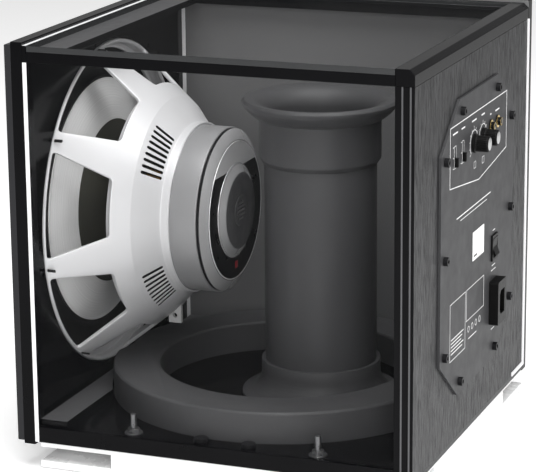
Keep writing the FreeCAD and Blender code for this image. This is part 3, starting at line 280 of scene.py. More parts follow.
EXTRA = {
    "polished_edge": plain("acrylic_edge", (0.020, 0.021, 0.022), 0.15, vary=0.15, patch=40, relief=0.02),
    "hub_grey": turned("hub_disc", (0.085, 0.085, 0.088), 0.5, DRIVER_CENTER, 1, 0.1, 1500.0),
    "batten_grey": plain("batten_top", (0.065, 0.065, 0.067), 0.5, vary=0.06, relief=0.02, sheen=0.2),
    "painted_reflection_grey": plain("strip_painted_reflection", (0.10, 0.10, 0.105), 0.35, 0.6, vary=0.1, relief=0.01),
    # Grey metal for the rear trim strips' near side: painted reflection lines.
    "bright_edge": plain("edge_highlight", (0.80, 0.80, 0.81), 0.3, 0.3, vary=0.04, relief=0.002),
    "inner_grey": plain("wall_lining", (0.125, 0.125, 0.127), 0.62, vary=0.05, patch=5, relief=0.05),
    "print_white": plain("screen_print", (0.80, 0.80, 0.80), 0.5, vary=0.06, relief=0.01),
    "label_silver": plain("label_foil", (0.62, 0.62, 0.63), 0.34, 0.15, vary=0.05, stretch=(1, 1, 0.1),
                          relief=0.02),
    "label_red": plain("label_mark", (0.35, 0.02, 0.03), 0.4, vary=0.1, relief=0.01),
    # Near black: the knob pointer's own colour, and painted shade in the vent slots and on the rim's notches.
    "pointer_and_shade_black": plain("painted_shade_and_pointer_black", (0.006, 0.006, 0.006), 0.7, vary=0.2, relief=0.05),
    "knob_face": turned("knob_end", (0.60, 0.60, 0.60), 0.35, (0, 0, 0), 1, 0.7, 2200.0),
    "pale_insulator": plain("socket_insulator", (0.75, 0.73, 0.68), 0.5, vary=0.05, relief=0.02),
}


# ------------------------------------------------------------ mesh helpers
def finish_mesh(name, bm, look, angle=35.0):
    bmesh.ops.remove_doubles(bm, verts=bm.verts, dist=0.004 * MM)
    bmesh.ops.recalc_face_normals(bm, faces=bm.faces)
    mesh = bpy.data.meshes.new(name)
    bm.to_mesh(mesh)
    bm.free()
    mesh.shade_smooth()
    mesh.set_sharp_from_angle(angle=math.radians(angle))
    obj = bpy.data.objects.new(name, mesh)
    bpy.context.scene.collection.objects.link(obj)
    mesh.materials.append(look.mat)
    return obj


def evaluated(obj):
    """Applies the object's modifiers to its mesh."""
    bpy.context.view_layer.update()
    deps = bpy.context.evaluated_depsgraph_get()
    mesh = bpy.data.meshes.new_from_object(obj.evaluated_get(deps))
    obj.modifiers.clear()
    old = obj.data
    obj.data = mesh
    bpy.data.meshes.remove(old)


def stand_for(obj, *nodes, slot=None, body=None):
    """The piece rides on the nodes' body and hides them. The slot argument is not used."""
    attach(obj, body or BODY_OF[nodes[0]])
    if nodes:
        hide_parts(*nodes)


def refine(node, width, angle=32.0):
    """The node's own shape with its edges eased, so that they catch the light."""
    look = LOOKS[SLOT_OF[node]]
    bm = bmesh.new()
    bm.from_mesh(NODES[node].data)
    bmesh.ops.remove_doubles(bm, verts=bm.verts, dist=WELD)
    bmesh.ops.dissolve_limit(bm, angle_limit=math.radians(0.4), verts=bm.verts, edges=bm.edges)
    obj = finish_mesh(node + "_eased", bm, look, angle)
    bevel = obj.modifiers.new("ease", "BEVEL")
    bevel.width = width * MM
    bevel.segments = 2
    bevel.limit_method = "ANGLE"
    bevel.angle_limit = math.radians(angle)
    bevel.harden_normals = True
    evaluated(obj)
    obj.data.materials.clear()
    obj.data.materials.append(look.mat)
    stand_for(obj, node)


def soften(points, radius, steps=4, closed=True):
    """Rounds a section's corners: radius is one number, or one per corner."""
    count = len(points)
    out = []
    for i, point in enumerate(points):
        r = radius[i] if isinstance(radius, (list, tuple)) else radius
        if (not closed and i in (0, count - 1)) or r <= 0:
            out.append(point)
            continue
        here = Vector(point)
        before = Vector(points[i - 1]) - here
        after = Vector(points[(i + 1) % count]) - here
        reach = min(r, before.length * CORNER_SHARE, after.length * CORNER_SHARE)
        a = here + before.normalized() * reach
        b = here + after.normalized() * reach
        for k in range(steps + 1):
            t = k / steps
            out.append(tuple(a * (1 - t) ** 2 + here * 2 * t * (1 - t) + b * t * t))
    return out


def place(center, axis, r, h, angle):
    """A point of a turned form in metres: radius, height along the axis, angle."""
    c, s = math.cos(angle), math.sin(angle)
    if axis == "Y":
        return Vector((center[0] + r * c, h, center[1] + r * s)) * MM
    return Vector((center[0] + r * c, center[1] + r * s, h)) * MM


def band(bm, points, center, axis, count=180, closed=False, wobble=None):
    """Turns a section of (radius, height) points about an axis."""
    rows = []
    for r, h in points:
        row = []
        for k in range(count):
            angle = 2 * math.pi * k / count
            extra = wobble(angle, r, h) if wobble else 0.0
            row.append(bm.verts.new(place(center, axis, max(0.0, r + extra), h, angle)))
        rows.append(row)
    pairs = list(zip(rows, rows[1:] + rows[:1])) if closed else list(zip(rows, rows[1:]))
    for one, two in pairs:
        for k in range(count):
            n = (k + 1) % count
            bm.faces.new((one[k], one[n], two[n], two[k]))


def quarter(steps, first=1):
    """Angles of a quarter turn in equal steps."""
    return [math.pi / 2 * k / steps for k in range(first, steps + 1)]


def lathe(name, points, center, axis, look, count=180, radius=0.5, steps=3, wobble=None):
    """A closed section of (radius, height) points turned about an axis, its corners rounded by radius."""
    bm = bmesh.new()
    section = soften(points, radius, steps) if radius else points
    band(bm, section, center, axis, count, closed=True, wobble=wobble)
    bmesh.ops.remove_doubles(bm, verts=bm.verts, dist=WELD)
    bmesh.ops.dissolve_degenerate(bm, edges=bm.edges, dist=SLIVER)
    return finish_mesh(name, bm, look)


def slab(name, low, high, look, ease=0.4, segments=2):
    """A block between two corners, in millimetres, with eased edges."""
    bm = bmesh.new()
    bmesh.ops.create_cube(bm, size=1.0)
    low, high = Vector(low), Vector(high)
    for v in bm.verts:
        v.co = Vector((low[i] + (v.co[i] + 0.5) * (high[i] - low[i]) for i in range(3))) * MM
    bmesh.ops.bevel(bm, geom=bm.edges[:], offset=ease * MM, segments=segments, profile=0.5,
                    affect="EDGES")
    return finish_mesh(name, bm, look)


def join(name, objects):
    """One object from several of the same look."""
    bm = bmesh.new()
    mats = []
    for obj in objects:
        start = len(bm.faces)
        bm.from_mesh(obj.data)
        bm.faces.ensure_lookup_table()
        mat = obj.data.materials[0]
        if mat not in mats:
            mats.append(mat)
        for face in bm.faces[start:]:
            face.material_index = mats.index(mat)
    mesh = bpy.data.meshes.new(name)
    bm.to_mesh(mesh)
    bm.free()
    for mat in mats:
        mesh.materials.append(mat)
    mesh.set_sharp_from_angle(angle=math.radians(35))
    made = bpy.data.objects.new(name, mesh)
    bpy.context.scene.collection.objects.link(made)
    for obj in objects:
        bpy.data.objects.remove(obj)
    return made


# ------------------------------------------------------------ driver basket
# Radii are from the driver's axis and depths from the cabinet's front face, in millimetres.
AXIS = (0.0, AXIS_Z)
WALL = 4.0
SEGMENTS = 360
RIM_R, BARREL_Y = 170.0, 19.5                   # where the rim's barrel turns into the cone wall
CONE_END_R, CONE_END_Y = 125.5, 73.8            # the cone wall's narrow end
SHOULDER_R, SHOULDER_Y = 114.0, 88.5            # the vented slope, from here
SEAT_R, SEAT_Y = 90.0, 109.4                    # to the motor's seat
WINDOWS = 8
WINDOW_TURN = 11.0                              # degrees from +X to the first window's middle
WINDOW_OUT_R, WINDOW_OUT_HALF = 168.5, 18.8     # a window's wide end and half its angle
WINDOW_IN_R, WINDOW_IN_HALF = 127.5, 13.2       # and its narrow end
VENT_GROUPS = 4
VENTS = 9
VENT_TURN = 46                                  # degrees from +X to the first group's middle
VENT_PITCH = 3.7                                # degrees from slot to slot
VENT_OUT_R, VENT_IN_R = 109.6, 91.2
VENT_HALF = 1.6                                 # half a slot's width
MOTOR_Y, MAGNET_Y, PLATE_Y, FACE_Y = 110.9, 118.4, 147.4, 156.4
POLE_R = 36
HUB_TOP_R, HUB_RISE = 40.5, 5.8


def straight(p0, p1):
    return Vector((p1[0] - p0[0], p1[1] - p0[1]))


def wall_point(angle, t, p0, p1, depth):
    """A point in a straight turned wall: angle, share of the way p0 to p1, depth under its outside."""
    r = p0[0] + (p1[0] - p0[0]) * t
    y = p0[1] + (p1[1] - p0[1]) * t
    run = straight(p0, p1).normalized()
    normal = Vector((run.y, -run.x))
    return place(AXIS, "Y", r - normal.x * depth, FRONT_Y + y - normal.y * depth, angle)


def wall_inside(p, p0, p1):
    """The point on the wall's inside that faces p."""
    run = straight(p0, p1).normalized()
    return (p[0] - run.y * WALL, p[1] + run.x * WALL)


def corner_sides(corners, radius, counts, arc_steps=5):
    """A rounded four-sided outline as a loop, counts[i] steps from middle to middle of its corners."""
    pts = [Vector(c) for c in corners]

    def half_arc(corner, inward, outward):
        """Points from the corner's middle to where the arc meets the outgoing side."""
        reach = min(radius, outward.length * CORNER_SHARE)
        p = corner + inward.normalized() * reach
        q = corner + outward.normalized() * reach
        shares = [0.5 + 0.5 * k / arc_steps for k in range(arc_steps + 1)]
        return [p * (1 - t) ** 2 + corner * 2 * t * (1 - t) + q * t * t for t in shares]

    loop = []
    for i in range(4):
        a, b = pts[i], pts[(i + 1) % 4]
        before, after = pts[i - 1], pts[(i + 2) % 4]
        start = half_arc(a, before - a, b - a)
        end = list(reversed(half_arc(b, after - b, a - b)))
        steps = counts[i] - 2 * arc_steps
        first, last = start[-1], end[0]
        middle = [first + (last - first) * (k / steps) for k in range(1, steps)]
        loop.extend((start + middle + end)[:-1])
    return loop


def offset_loop(loop, distance):
    """The loop moved sideways by a distance, outwards where it is positive."""
    out = []
    n = len(loop)
    for i, p in enumerate(loop):
        t = (loop[(i + 1) % n] - loop[i - 1]).normalized()
        out.append(p + Vector((t.y, -t.x)) * distance)
    return out


def pierced_wall(bm, a0, a1, p0, p1, columns, rows, hole, ease=1.1, rings=(0.35, 0.7), throat=0):
    """One panel of a turned wall with an eased hole: hole is a loop of (arc, way along the wall) in
    millimetres, and throat is the material index of what lies behind the hole's eased edge."""
    length = straight(p0, p1).length
    mid = (a0 + a1) / 2

    def to_angle(point):
        t = point.y / length
        r = p0[0] + (p1[0] - p0[0]) * t
        return mid + point.x / r, t

    border = [(a0 + (a1 - a0) * k / columns, 0.0) for k in range(columns)]
    border += [(a1, k / rows) for k in range(rows)]
    border += [(a1 - (a1 - a0) * k / columns, 1.0) for k in range(columns)]
    border += [(a0, 1 - k / rows) for k in range(rows)]
    rim = [to_angle(p) for p in offset_loop(hole, ease)]

    def between(share, depth):
        """A loop that lies a share of the way from the hole's rim to the panel's border."""
        return [(r[0] + (b[0] - r[0]) * share, r[1] + (b[1] - r[1]) * share, depth)
                for r, b in zip(rim, border)]

    eased = [(ease * (1 - math.sin(q)), ease * (1 - math.cos(q))) for q in quarter(3, first=0)]
    loops = [between(share, 0.0) for share in (1.0,) + tuple(reversed(rings))]
    for out, depth in eased:
        loops.append([(*to_angle(p), depth) for p in offset_loop(hole, out)])
    for out, depth in reversed(eased):
        loops.append([(*to_angle(p), WALL - depth) for p in offset_loop(hole, out)])
    loops += [between(share, WALL) for share in rings + (1.0,)]
    made = [[bm.verts.new(wall_point(a, t, p0, p1, d)) for a, t, d in loop] for loop in loops]
    first = len(rings) + 3
    for i, (one, two) in enumerate(zip(made, made[1:])):
        for k in range(len(one)):
            n = (k + 1) % len(one)
            face = bm.faces.new((one[k], one[n], two[n], two[k]))
            if i >= first:
                face.material_index = throat


def plain_wall(bm, a0, a1, p0, p1, columns, rows):
    """One unbroken panel of a turned wall, inside and outside."""
    for depth in (0.0, WALL):
        grid = [[bm.verts.new(wall_point(a0 + (a1 - a0) * i / columns, j / rows, p0, p1, depth))
                 for i in range(columns + 1)] for j in range(rows + 1)]
        for j in range(rows):
            for i in range(columns):
                bm.faces.new((grid[j][i], grid[j][i + 1], grid[j + 1][i + 1], grid[j + 1][i]))


def deep(points):
    """A section given as (radius, depth), as (radius, height along Y)."""
    return [(r, FRONT_Y + y) for r, y in points]


def cut_windows(bm, start, end):
    """The cone wall's equal panels, each with one window."""
    length = straight(start, end).length
    step = math.radians(360 / WINDOWS)
    far, near = [(RIM_R - r) / (RIM_R - CONE_END_R) * length for r in (WINDOW_OUT_R, WINDOW_IN_R)]
    far_x = WINDOW_OUT_R * math.radians(WINDOW_OUT_HALF)
    near_x = WINDOW_IN_R * math.radians(WINDOW_IN_HALF)
    hole = corner_sides([(-far_x, far), (far_x, far), (near_x, near), (-near_x, near)], 4.5, (45, 24, 45, 24))
    for k in range(WINDOWS):
        mid = math.radians(WINDOW_TURN + 360 / WINDOWS * k)
        pierced_wall(bm, mid - step / 2, mid + step / 2, start, end, 45, 24, hole)


def cut_vents(bm, start, end):
    """The shoulder slope's groups of narrow slots, with plain wall between the groups. The slots' walls and
    the slope's inside across each slot's panel take material 1, near black: painted shade in the slots.
    """
    along = straight(start, end).length / (SHOULDER_R - SEAT_R)
    s0, s1 = (SHOULDER_R - VENT_OUT_R) * along, (SHOULDER_R - VENT_IN_R) * along
    slot = corner_sides([(-VENT_HALF, s0), (VENT_HALF, s0), (VENT_HALF, s1), (-VENT_HALF, s1)], VENT_HALF,
                        (4, 14, 4, 14), 1)
    group, turn = VENTS * VENT_PITCH, 360 / VENT_GROUPS
    for g in range(VENT_GROUPS):
        first = VENT_TURN + turn * g - group / 2
        for k in range(VENTS):
            a0 = math.radians(first + VENT_PITCH * k)
            pierced_wall(bm, a0, a0 + math.radians(VENT_PITCH), start, end, 4, 14, slot, 0.35, (0.5,), 1)
        plain_wall(bm, math.radians(first + group), math.radians(first + turn), start, end, 56, 14)


def make_basket():
    bm = bmesh.new()
    cone = (RIM_R, BARREL_Y), (CONE_END_R, CONE_END_Y)
    slope = (SHOULDER_R, SHOULDER_Y), (SEAT_R, SEAT_Y)
    cut_windows(bm, *cone)
    cut_vents(bm, *slope)
    rim = [cone[0], (RIM_R, 6), (182, 6), (182, 0), (167.5, 0), (167.5, 3.9), (160, 3.9), (160, 7.9),
           (166, 7.9), (166, 15.5), wall_inside(cone[0], *cone)]
    shoulder = [cone[1], slope[0]]
    shelf = [wall_inside(cone[1], *cone), (121, 64.8), (118, 63.5), (98, 63.5), (98, 67.5), (109.6, 67.5),
             (109.6, 83.0), wall_inside(slope[0], *slope)]
    seat = [slope[1], (89, 110.4), (89, MAGNET_Y), (87, MAGNET_Y), (87, MOTOR_Y), (70, MOTOR_Y), (70, 107.1),
            (85.5, 107.1), wall_inside(slope[1], *slope)]
    for points, radius in ((rim, 1.2), (shoulder, 4.0), (shelf, 1.0), (seat, 0.8)):
        band(bm, deep(soften(points, radius, 4, closed=False)), AXIS, "Y", SEGMENTS)
    obj = finish_mesh("basket_casting", bm, LOOKS["cast_silver"], 40)
    # Material 1, near black: painted shade on the vent slots' walls and the slope's inside behind them.
    obj.data.materials.append(EXTRA["pointer_and_shade_black"].mat)
    stand_for(obj, "driver_basket")


def make_notches():
    """Short dark bars on the rim's barrel, midway between the windows: painted shade standing in for the
    rim's notches.
    """
    bars = []
    for k in range(WINDOWS):
        a = math.radians(WINDOW_TURN + 360 / WINDOWS * (k + 0.5))
        bm = bmesh.new()
        bmesh.ops.create_cube(bm, size=1.0)
        for v in bm.verts:
            r = 168.9 + (v.co.x + 0.5) * 1.5
            w = v.co.z * 3.0
            y = 20.6 + (v.co.y + 0.5) * 9.0
            x, z = r * math.cos(a) - w * math.sin(a), r * math.sin(a) + w * math.cos(a)
            v.co = Vector((x, FRONT_Y + y, AXIS_Z + z)) * MM
        bmesh.ops.bevel(bm, geom=bm.edges[:], offset=0.4 * MM, segments=2, affect="EDGES")
        bars.append(finish_mesh("notch_%d" % k, bm, EXTRA["pointer_and_shade_black"]))
    stand_for(join("rim_notch_shade", bars), slot="surround_rubber", body="cabinet")


# ------------------------------------------------------------ driver
def driver_part(name, section, slot, node, count=180, radius=0.0, steps=3):
    """A turned part of the driver that stands for a node."""
    stand_for(lathe(name, deep(section), AXIS, "Y", LOOKS[slot], count, radius, steps), node)


def make_cone():
    edge_r, edge_y = 86, 16.5
    coil_r, coil_y = 38, 44
    cap_r, cap_rise = 62, 13
    paper = 1.4
    cone = [(128.5, 3.9), (128.5, 5.3), (125, 5.3), (edge_r, edge_y + paper), (edge_r, edge_y), (125, 3.9)]
    driver_part("outer_cone", cone, "cone_silver", "driver_cone", 240, 0.4)
    neck = [(edge_r, edge_y), (edge_r, edge_y + paper), (coil_r, coil_y + paper), (coil_r, coil_y)]
    driver_part("inner_cone", neck, "cone_dark", "cone_neck", 180, 0.4)
    cap_y = edge_y + (edge_r - cap_r) * (coil_y - edge_y) / (edge_r - coil_r)
    shares = [k / 24 for k in range(25)]
    dome = [(cap_r * t, cap_y - cap_rise * (1 - t * t)) for t in shares]
    under = [(r * 0.985, y + paper) for r, y in reversed(dome)]
    under[-1] = (0.0, dome[0][1] + paper)
    driver_part("cap_dome", dome + under, "cone_dark", "dust_cap", 160)


def make_surround():
    """The half-roll in two pieces that meet at its crest."""
    mid, half, skin = 144.5, 15.5, 1.6
    flat_y, rise = 2.0, 13.0

    def roll(end, steps=16):
        """The roll's outside and inside from the crest to an angle, with the angle from the crest."""
        turns = [math.radians(end * k / steps) for k in range(steps + 1)]
        return ([(mid + half * math.sin(a), flat_y - rise * math.cos(a)) for a in turns],
                [(mid + (half - skin) * math.sin(a), flat_y + skin - rise * math.cos(a)) for a in turns])

    for name, sign, edge in (("surround_outer", 1, 164.0), ("surround_inner", -1, 125.0)):
        outer, inner = roll(90 * sign)
        section = outer + [(edge, flat_y), (edge, flat_y + skin)] + list(reversed(inner))
        obj = lathe(name, deep(section), AXIS, "Y", LOOKS["surround_rubber"], 240, 0)
        if sign > 0:
            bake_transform(obj)
            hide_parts("driver_surround")
        else:
            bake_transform(obj)


def make_spider():
    """A disc with six round waves between two flat edges."""
    coil_r, ledge_r, y = 37.8, 104, 62.3
    inner, outer = 41.8, 97.0
    waves, swing, cloth, steps = 6, 2.2, 1.0, 96
    wave = []
    for k in range(steps + 1):
        r = coil_r + (ledge_r - coil_r) * k / steps
        turn = (r - inner) / (outer - inner) * waves * 2 * math.pi
        wave.append((r, y + (swing * math.sin(turn) if inner < r < outer else 0.0)))
    section = wave + [(r, h + cloth) for r, h in reversed(wave)]
    driver_part("spider_disc", section, "spider_cloth", "driver_spider")


def make_motor():
    driver_part("magnet_ring", [(86, MAGNET_Y), (86, PLATE_Y), (47, PLATE_Y), (47, MAGNET_Y)], "magnet_grey",
                "ring_magnet", 240, 1.2, 4)
    driver_part("top_ring", [(86.8, MOTOR_Y), (86.8, MAGNET_Y), (39.8, MAGNET_Y), (39.8, MOTOR_Y)],
                "motor_steel", "motor_top_plate", 200, 0.6)
    vent_r, side_r, chamfer_r, ring_y = 13, 85, 73.5, FACE_Y + 1.2
    hub_y = FACE_Y + HUB_RISE
    back = [(vent_r, hub_y), (HUB_TOP_R, hub_y), (47.6, ring_y), (49.4, ring_y), (49.4, FACE_Y),
            (chamfer_r, FACE_Y), (side_r, FACE_Y - 5.8), (side_r, PLATE_Y), (POLE_R, PLATE_Y),
            (POLE_R, MOTOR_Y), (vent_r, MOTOR_Y)]
    rear = lathe("back_plate_turned", deep(back), AXIS, "Y", LOOKS["motor_steel"], 240, 0.8, 3)
    rear.data.materials.append(LOOKS["black_steel"].mat)
    for poly in rear.data.polygons:
        radius = math.hypot(poly.center.x, poly.center.z - AXIS_Z * MM) / MM
        flat = abs(poly.normal.y) > 0.99
        if radius > side_r - 0.4 or (flat and 72.2 < radius < 73.6):
            poly.material_index = 1
    stand_for(rear, "motor_back_plate")
    rim = [(71.5, FACE_Y + GAP), (72.3, FACE_Y + GAP), (72.3, FACE_Y + 0.7), (71.5, FACE_Y + 0.7)]
    disc = [(16.3, hub_y + GAP), (39.6, hub_y + GAP), (39.6, hub_y + 0.3), (16.3, hub_y + 0.3)]
    for name, section, look, count in (("label_rim", rim, "bright_edge", 240),
                                       ("hub_disc", disc, "hub_grey", 180)):
        stand_for(lathe(name, deep(section), AXIS, "Y", EXTRA[look], count, 0.15, 2), slot="motor_steel",
                  body="cabinet")


def make_label():
    """Black ring label below a chord, bright foil above it, and a small plain mark."""
    out_r, in_r, chord = 71.3, 49.8, 44.0
    foil_low = chord + 0.4
    count = 240

    def vert(bm, x, z, lift):
        return bm.verts.new(Vector((x, FRONT_Y + FACE_Y + lift, AXIS_Z + z)) * MM)

    bm = bmesh.new()
    turns = [2 * math.pi * k / count for k in range(count)]
    low_out, low_in, high_out, high_in = [
        [vert(bm, r * math.cos(a), min(r * math.sin(a), chord), lift) for a in turns]
        for lift in (GAP, 0.6) for r in (out_r, in_r)]
    loops = [low_out, high_out, high_in, low_in]
    for one, two in zip(loops, loops[1:] + loops[:1]):
        for k in range(count):
            n = (k + 1) % count
            bm.faces.new((one[k], one[n], two[n], two[k]))
    bmesh.ops.remove_doubles(bm, verts=bm.verts, dist=0.01 * MM)
    bmesh.ops.dissolve_degenerate(bm, edges=bm.edges, dist=0.005 * MM)
    stand_for(finish_mesh("motor_label_black", bm, LOOKS["label_black"]), "motor_label")

    bm = bmesh.new()
    start, end = math.asin(foil_low / out_r), math.asin(foil_low / in_r)
    sweep = [(out_r, start + (math.pi - 2 * start) * k / 60) for k in range(61)]
    sweep += [(in_r, math.pi - end - (math.pi - 2 * end) * k / 40) for k in range(41)]
    outline = [(r * math.cos(a), r * math.sin(a)) for r, a in sweep]
    under, top = [[vert(bm, x, z, lift) for x, z in outline] for lift in (GAP, 0.45)]
    bm.faces.new(under)
    bm.faces.new(list(reversed(top)))
    for k in range(len(outline)):
        n = (k + 1) % len(outline)
        bm.faces.new((under[k], under[n], top[n], top[k]))
    stand_for(finish_mesh("motor_label_foil", bm, EXTRA["label_silver"]), slot="label_black", body="cabinet")
    face = FRONT_Y + FACE_Y
    mark = slab("label_square", (-3.6, face + 0.5, AXIS_Z - 62), (3.6, face + 0.8, AXIS_Z - 54.5),
                EXTRA["label_red"], 0.1)
    stand_for(mark, slot="label_black", body="cabinet")


def build_driver():
    make_basket()
    make_notches()
    make_cone()
    make_surround()
    make_spider()
    make_motor()
    make_label()


# ------------------------------------------------------------ port
def build_port():
    look = LOOKS["port_plastic"]
    center = (0.0, PORT_Y)
    bore, tube_out, seat = 53.5, 57.5, 57.7
    neck = RIM_Z - 20
    low = neck - 46
    tube_end, tube_foot = RIM_Z - 34, INNER_Z + 32
    rim_r, mouth_r, collar_r = 80, 77, 62
    lip_r = rim_r - 1.5
    top = [(bore, tube_end), (bore, neck)]
    top += [(bore + (mouth_r - bore) * (1 - math.cos(a)), neck + 20 * math.sin(a)) for a in quarter(12)]
    top += [(rim_r, RIM_Z - 3), (lip_r, RIM_Z - 7)]
    top += [(lip_r - (lip_r - collar_r) * math.sin(a), neck + 13 * (1 - math.sin(a)) ** 1.6)
            for a in quarter(10)]
    top += [(collar_r, low + 5), (58.5, low), (seat, low), (seat, tube_end)]
    stand_for(lathe("port_flare_top", top, center, "Z", look, 200, 0.8, 3), "port_top_flare")
    tube = [(tube_out, tube_foot), (tube_out, tube_end), (bore, tube_end), (bore, tube_foot)]
    stand_for(lathe("port_tube_wall", tube, center, "Z", look, 200, 0.3), "port_tube")

    base_neck = INNER_Z + 38
    skirt_z, foot_z, sleeve_r, flange_r, spigot_r, exit_r = base_neck - 12, tube_foot, 61.5, 82, 76, 73
    foot = [(bore, foot_z), (seat, foot_z), (seat, base_neck), (sleeve_r, base_neck), (sleeve_r, skirt_z)]
    foot += [(sleeve_r + (flange_r - sleeve_r) * (1 - math.cos(a)), skirt_z - 23 * math.sin(a))
             for a in quarter(10)]
    foot += [(flange_r, INNER_Z), (spigot_r, INNER_Z), (spigot_r, BASE_Z), (exit_r, BASE_Z)]
    foot += [(exit_r - (exit_r - bore) * math.sin(a), BASE_Z + (foot_z - BASE_Z) * (1 - math.cos(a)))
             for a in quarter(10)]
    stand_for(lathe("port_flare_bottom", foot, center, "Z", look, 200, 0.5, 2), "port_bottom_flare")


# ------------------------------------------------------------ amplifier panel
# Panel places are x and the height over the bottom board's underside, in millimetres.
SWITCH_X = (82.5, 56.0)
JACK_X = (-40.0, -64.0)
JACK_Z = 301
PRINT_LIFT = 0.12           # thickness of the printed ink


def ribbon(name, points, width, look, closed=False):
    """A thin printed line on the panel, along (x, z) points in millimetres."""
    bm = bmesh.new()
    pts = [Vector(p) for p in points]
    n = len(pts)
    left, right = [], []
    for i, p in enumerate(pts):
        before = pts[i - 1] if (i > 0 or closed) else p
        after = pts[(i + 1) % n] if (i < n - 1 or closed) else p
        d0 = (p - before).normalized() if (p - before).length > 0 else (after - p).normalized()
        d1 = (after - p).normalized() if (after - p).length > 0 else d0
        normal = Vector((-(d0.y + d1.y), d0.x + d1.x)).normalized()
        cosine = max(0.3, normal.dot(Vector((-d1.y, d1.x))))
        left.append(p + normal * width / 2 / cosine)
        right.append(p - normal * width / 2 / cosine)
    rings = []
    for l, r in zip(left, right):
        rings.append([bm.verts.new(Vector((q.x, AMP_Y + y, q.y)) * MM)
                      for q, y in ((l, 0.01), (l, PRINT_LIFT), (r, PRINT_LIFT), (r, 0.01))])
    pairs = list(zip(rings, rings[1:])) + ([(rings[-1], rings[0])] if closed else [])
    for one, two in pairs:
        for k in range(4):
            m = (k + 1) % 4
            bm.faces.new((one[k], one[m], two[m], two[k]))
    if not closed:
        bm.faces.new(rings[0])
        bm.faces.new(list(reversed(rings[-1])))
    return finish_mesh(name, bm, look)


def arc_points(x, z, r, a0, a1, count=28):
    return [(x + r * math.cos(math.radians(a0 + (a1 - a0) * k / count)),
             z + r * math.sin(math.radians(a0 + (a1 - a0) * k / count))) for k in range(count + 1)]


def knob_places():
    """The two knobs' shared height and each one's x."""
    level, cross = span("level_knob"), span("crossover_knob")
    return (level[0].z + level[1].z) / 2, [(low.x + high.x) / 2 for low, high in (level, cross)]


def make_knob(name, node, x, z):
    """A fluted grip on a skirt, with a turned face and a pointer."""
    y0 = span(node)[0].y
    y1 = span(node)[1].y
    ribs, rib_depth = 24, 0.42
    shaft_r, skirt_r, grip_r, face_r = 3.0, 9.4, 8.0, 6.1

    def flutes(angle, r, h):
        if 7.4 < r < 8.3 and h < y1 - 1.2:
            return -rib_depth * max(0.0, math.cos(angle * ribs)) ** 2
        return 0.0

    section = [(shaft_r, y0), (skirt_r, y0), (skirt_r, y0 + 2.2), (8.2, y0 + 2.6), (grip_r, y0 + 3.0)]
    section += [(grip_r, y0 + 3.0 + (y1 - y0 - 4.4) * k / 6) for k in range(1, 7)]
    section += [(7.8, y1 - 0.9), (6.9, y1 - 0.2), (6.2, y1 - 0.35), (0.0, y1 - 0.35), (0.0, y1 - 4.0),
                (shaft_r, y1 - 4.0)]
    grip = lathe(name + "_grip", section, (x, z), "Y", LOOKS["control_black"], 288, 0, wobble=flutes)
    stand_for(grip, node)
    disc = [(0.0, y1 - 0.34), (face_r, y1 - 0.34), (face_r, y1 - 0.12), (5.8, y1 - 0.02), (0.0, y1 - 0.02)]
    cap = lathe(name + "_face", disc, (x, z), "Y", EXTRA["knob_face"], 72, 0)
    stand_for(cap, slot="control_black", body=BODY_OF[node])
    pointer = slab(name + "_pointer", (x - 0.45, y1 - 0.06, z + 1.8), (x + 0.45, y1, z + 6.0),
                   EXTRA["pointer_and_shade_black"], 0.02, 1)
    stand_for(pointer, slot="control_black", body=BODY_OF[node])


def print_panel(knob_z, level_x, cross_x):
    """Frame lines, dials, ticks and plain bars in place of lettering, as one printed piece."""
    printed = []
    ink = EXTRA["print_white"]

    def line(name, points, width, closed=False):
        """A line through (x, panel height) points."""
        printed.append(ribbon(name, [(x, FLOOR_Z + z) for x, z in points], width, ink, closed))

    def bar(name, x, z, half, width):
        line(name, [(x + half, z), (x - half, z)], width)

    line("frame_line", [(99, 326), (-99, 326), (-99, 267), (0, 255), (99, 267)], 0.9, closed=True)
    for x in (level_x, cross_x):
        printed.append(ribbon("dial", arc_points(x, knob_z, 13.2, -40, 220), 0.9, ink))
        for k in range(11):
            a = math.radians(220 - 26 * k)
            inner, outer = 14.4, 16.2 if k % 5 else 17.2
            tick = [(x + r * math.cos(a), knob_z + r * math.sin(a)) for r in (inner, outer)]
            printed.append(ribbon("tick", tick, 0.6, ink))
    for x in SWITCH_X:
        for z in (284.5, 295.0, 305.5):
            line("stop", [(x + 4.2, z), (x + 7.2, z)], 0.7)
        line("slot_line", [(x - 2.9, 284), (x - 2.9, 306), (x + 2.9, 306), (x + 2.9, 284)], 0.45, closed=True)
    for x, w in zip((*SWITCH_X, level_x, cross_x, *JACK_X), (16, 11, 15, 11, 4, 14)):
        bar("legend", x, 313.0 if x in JACK_X else 318.5, w / 2, 1.5)
    for x, z in ((level_x - 4, 273), (cross_x - 2, 272)):
        line("symbol", [(x + 3.2, z - 3.2), (x + 3.2, z + 3.2), (x - 3.2, z + 3.2), (x - 3.2, z - 3.2)], 0.5,
             closed=True)
    bar("rule", 16, 232, 59, 1.1)
    bar("rule", 16, 227.5, 46, 0.7)
    for x0, x1, z0, z1 in ((94, 42, 92, 150), (38, -23, 118, 150)):
        line("label_box", [(x0, z0), (x0, z1), (x1, z1), (x1, z0)], 0.6, closed=True)
    for k in range(5):
        z = 113 - 3.6 * k
        line("rating_row", [(90, z), (48 + 4 * (k % 3), z)], 1.0)
    for k in range(4):
        ring = arc_points(30 - 13 * k, FLOOR_Z + 108, 3.0, 0, 345, 20)
        printed.append(ribbon("ring_mark", ring, 0.6, ink, closed=True))
    bar("row_mark", 16, 98, 14, 0.9)
    for x, z, half in ((-58, 152, 6), (-58, 147, 8), (-58, 84, 6), (-58, 189, 4)):
        bar("short_mark", x, z, half, 0.9)
    stand_for(join("panel_print", printed), slot="badge_white", body="cabinet")


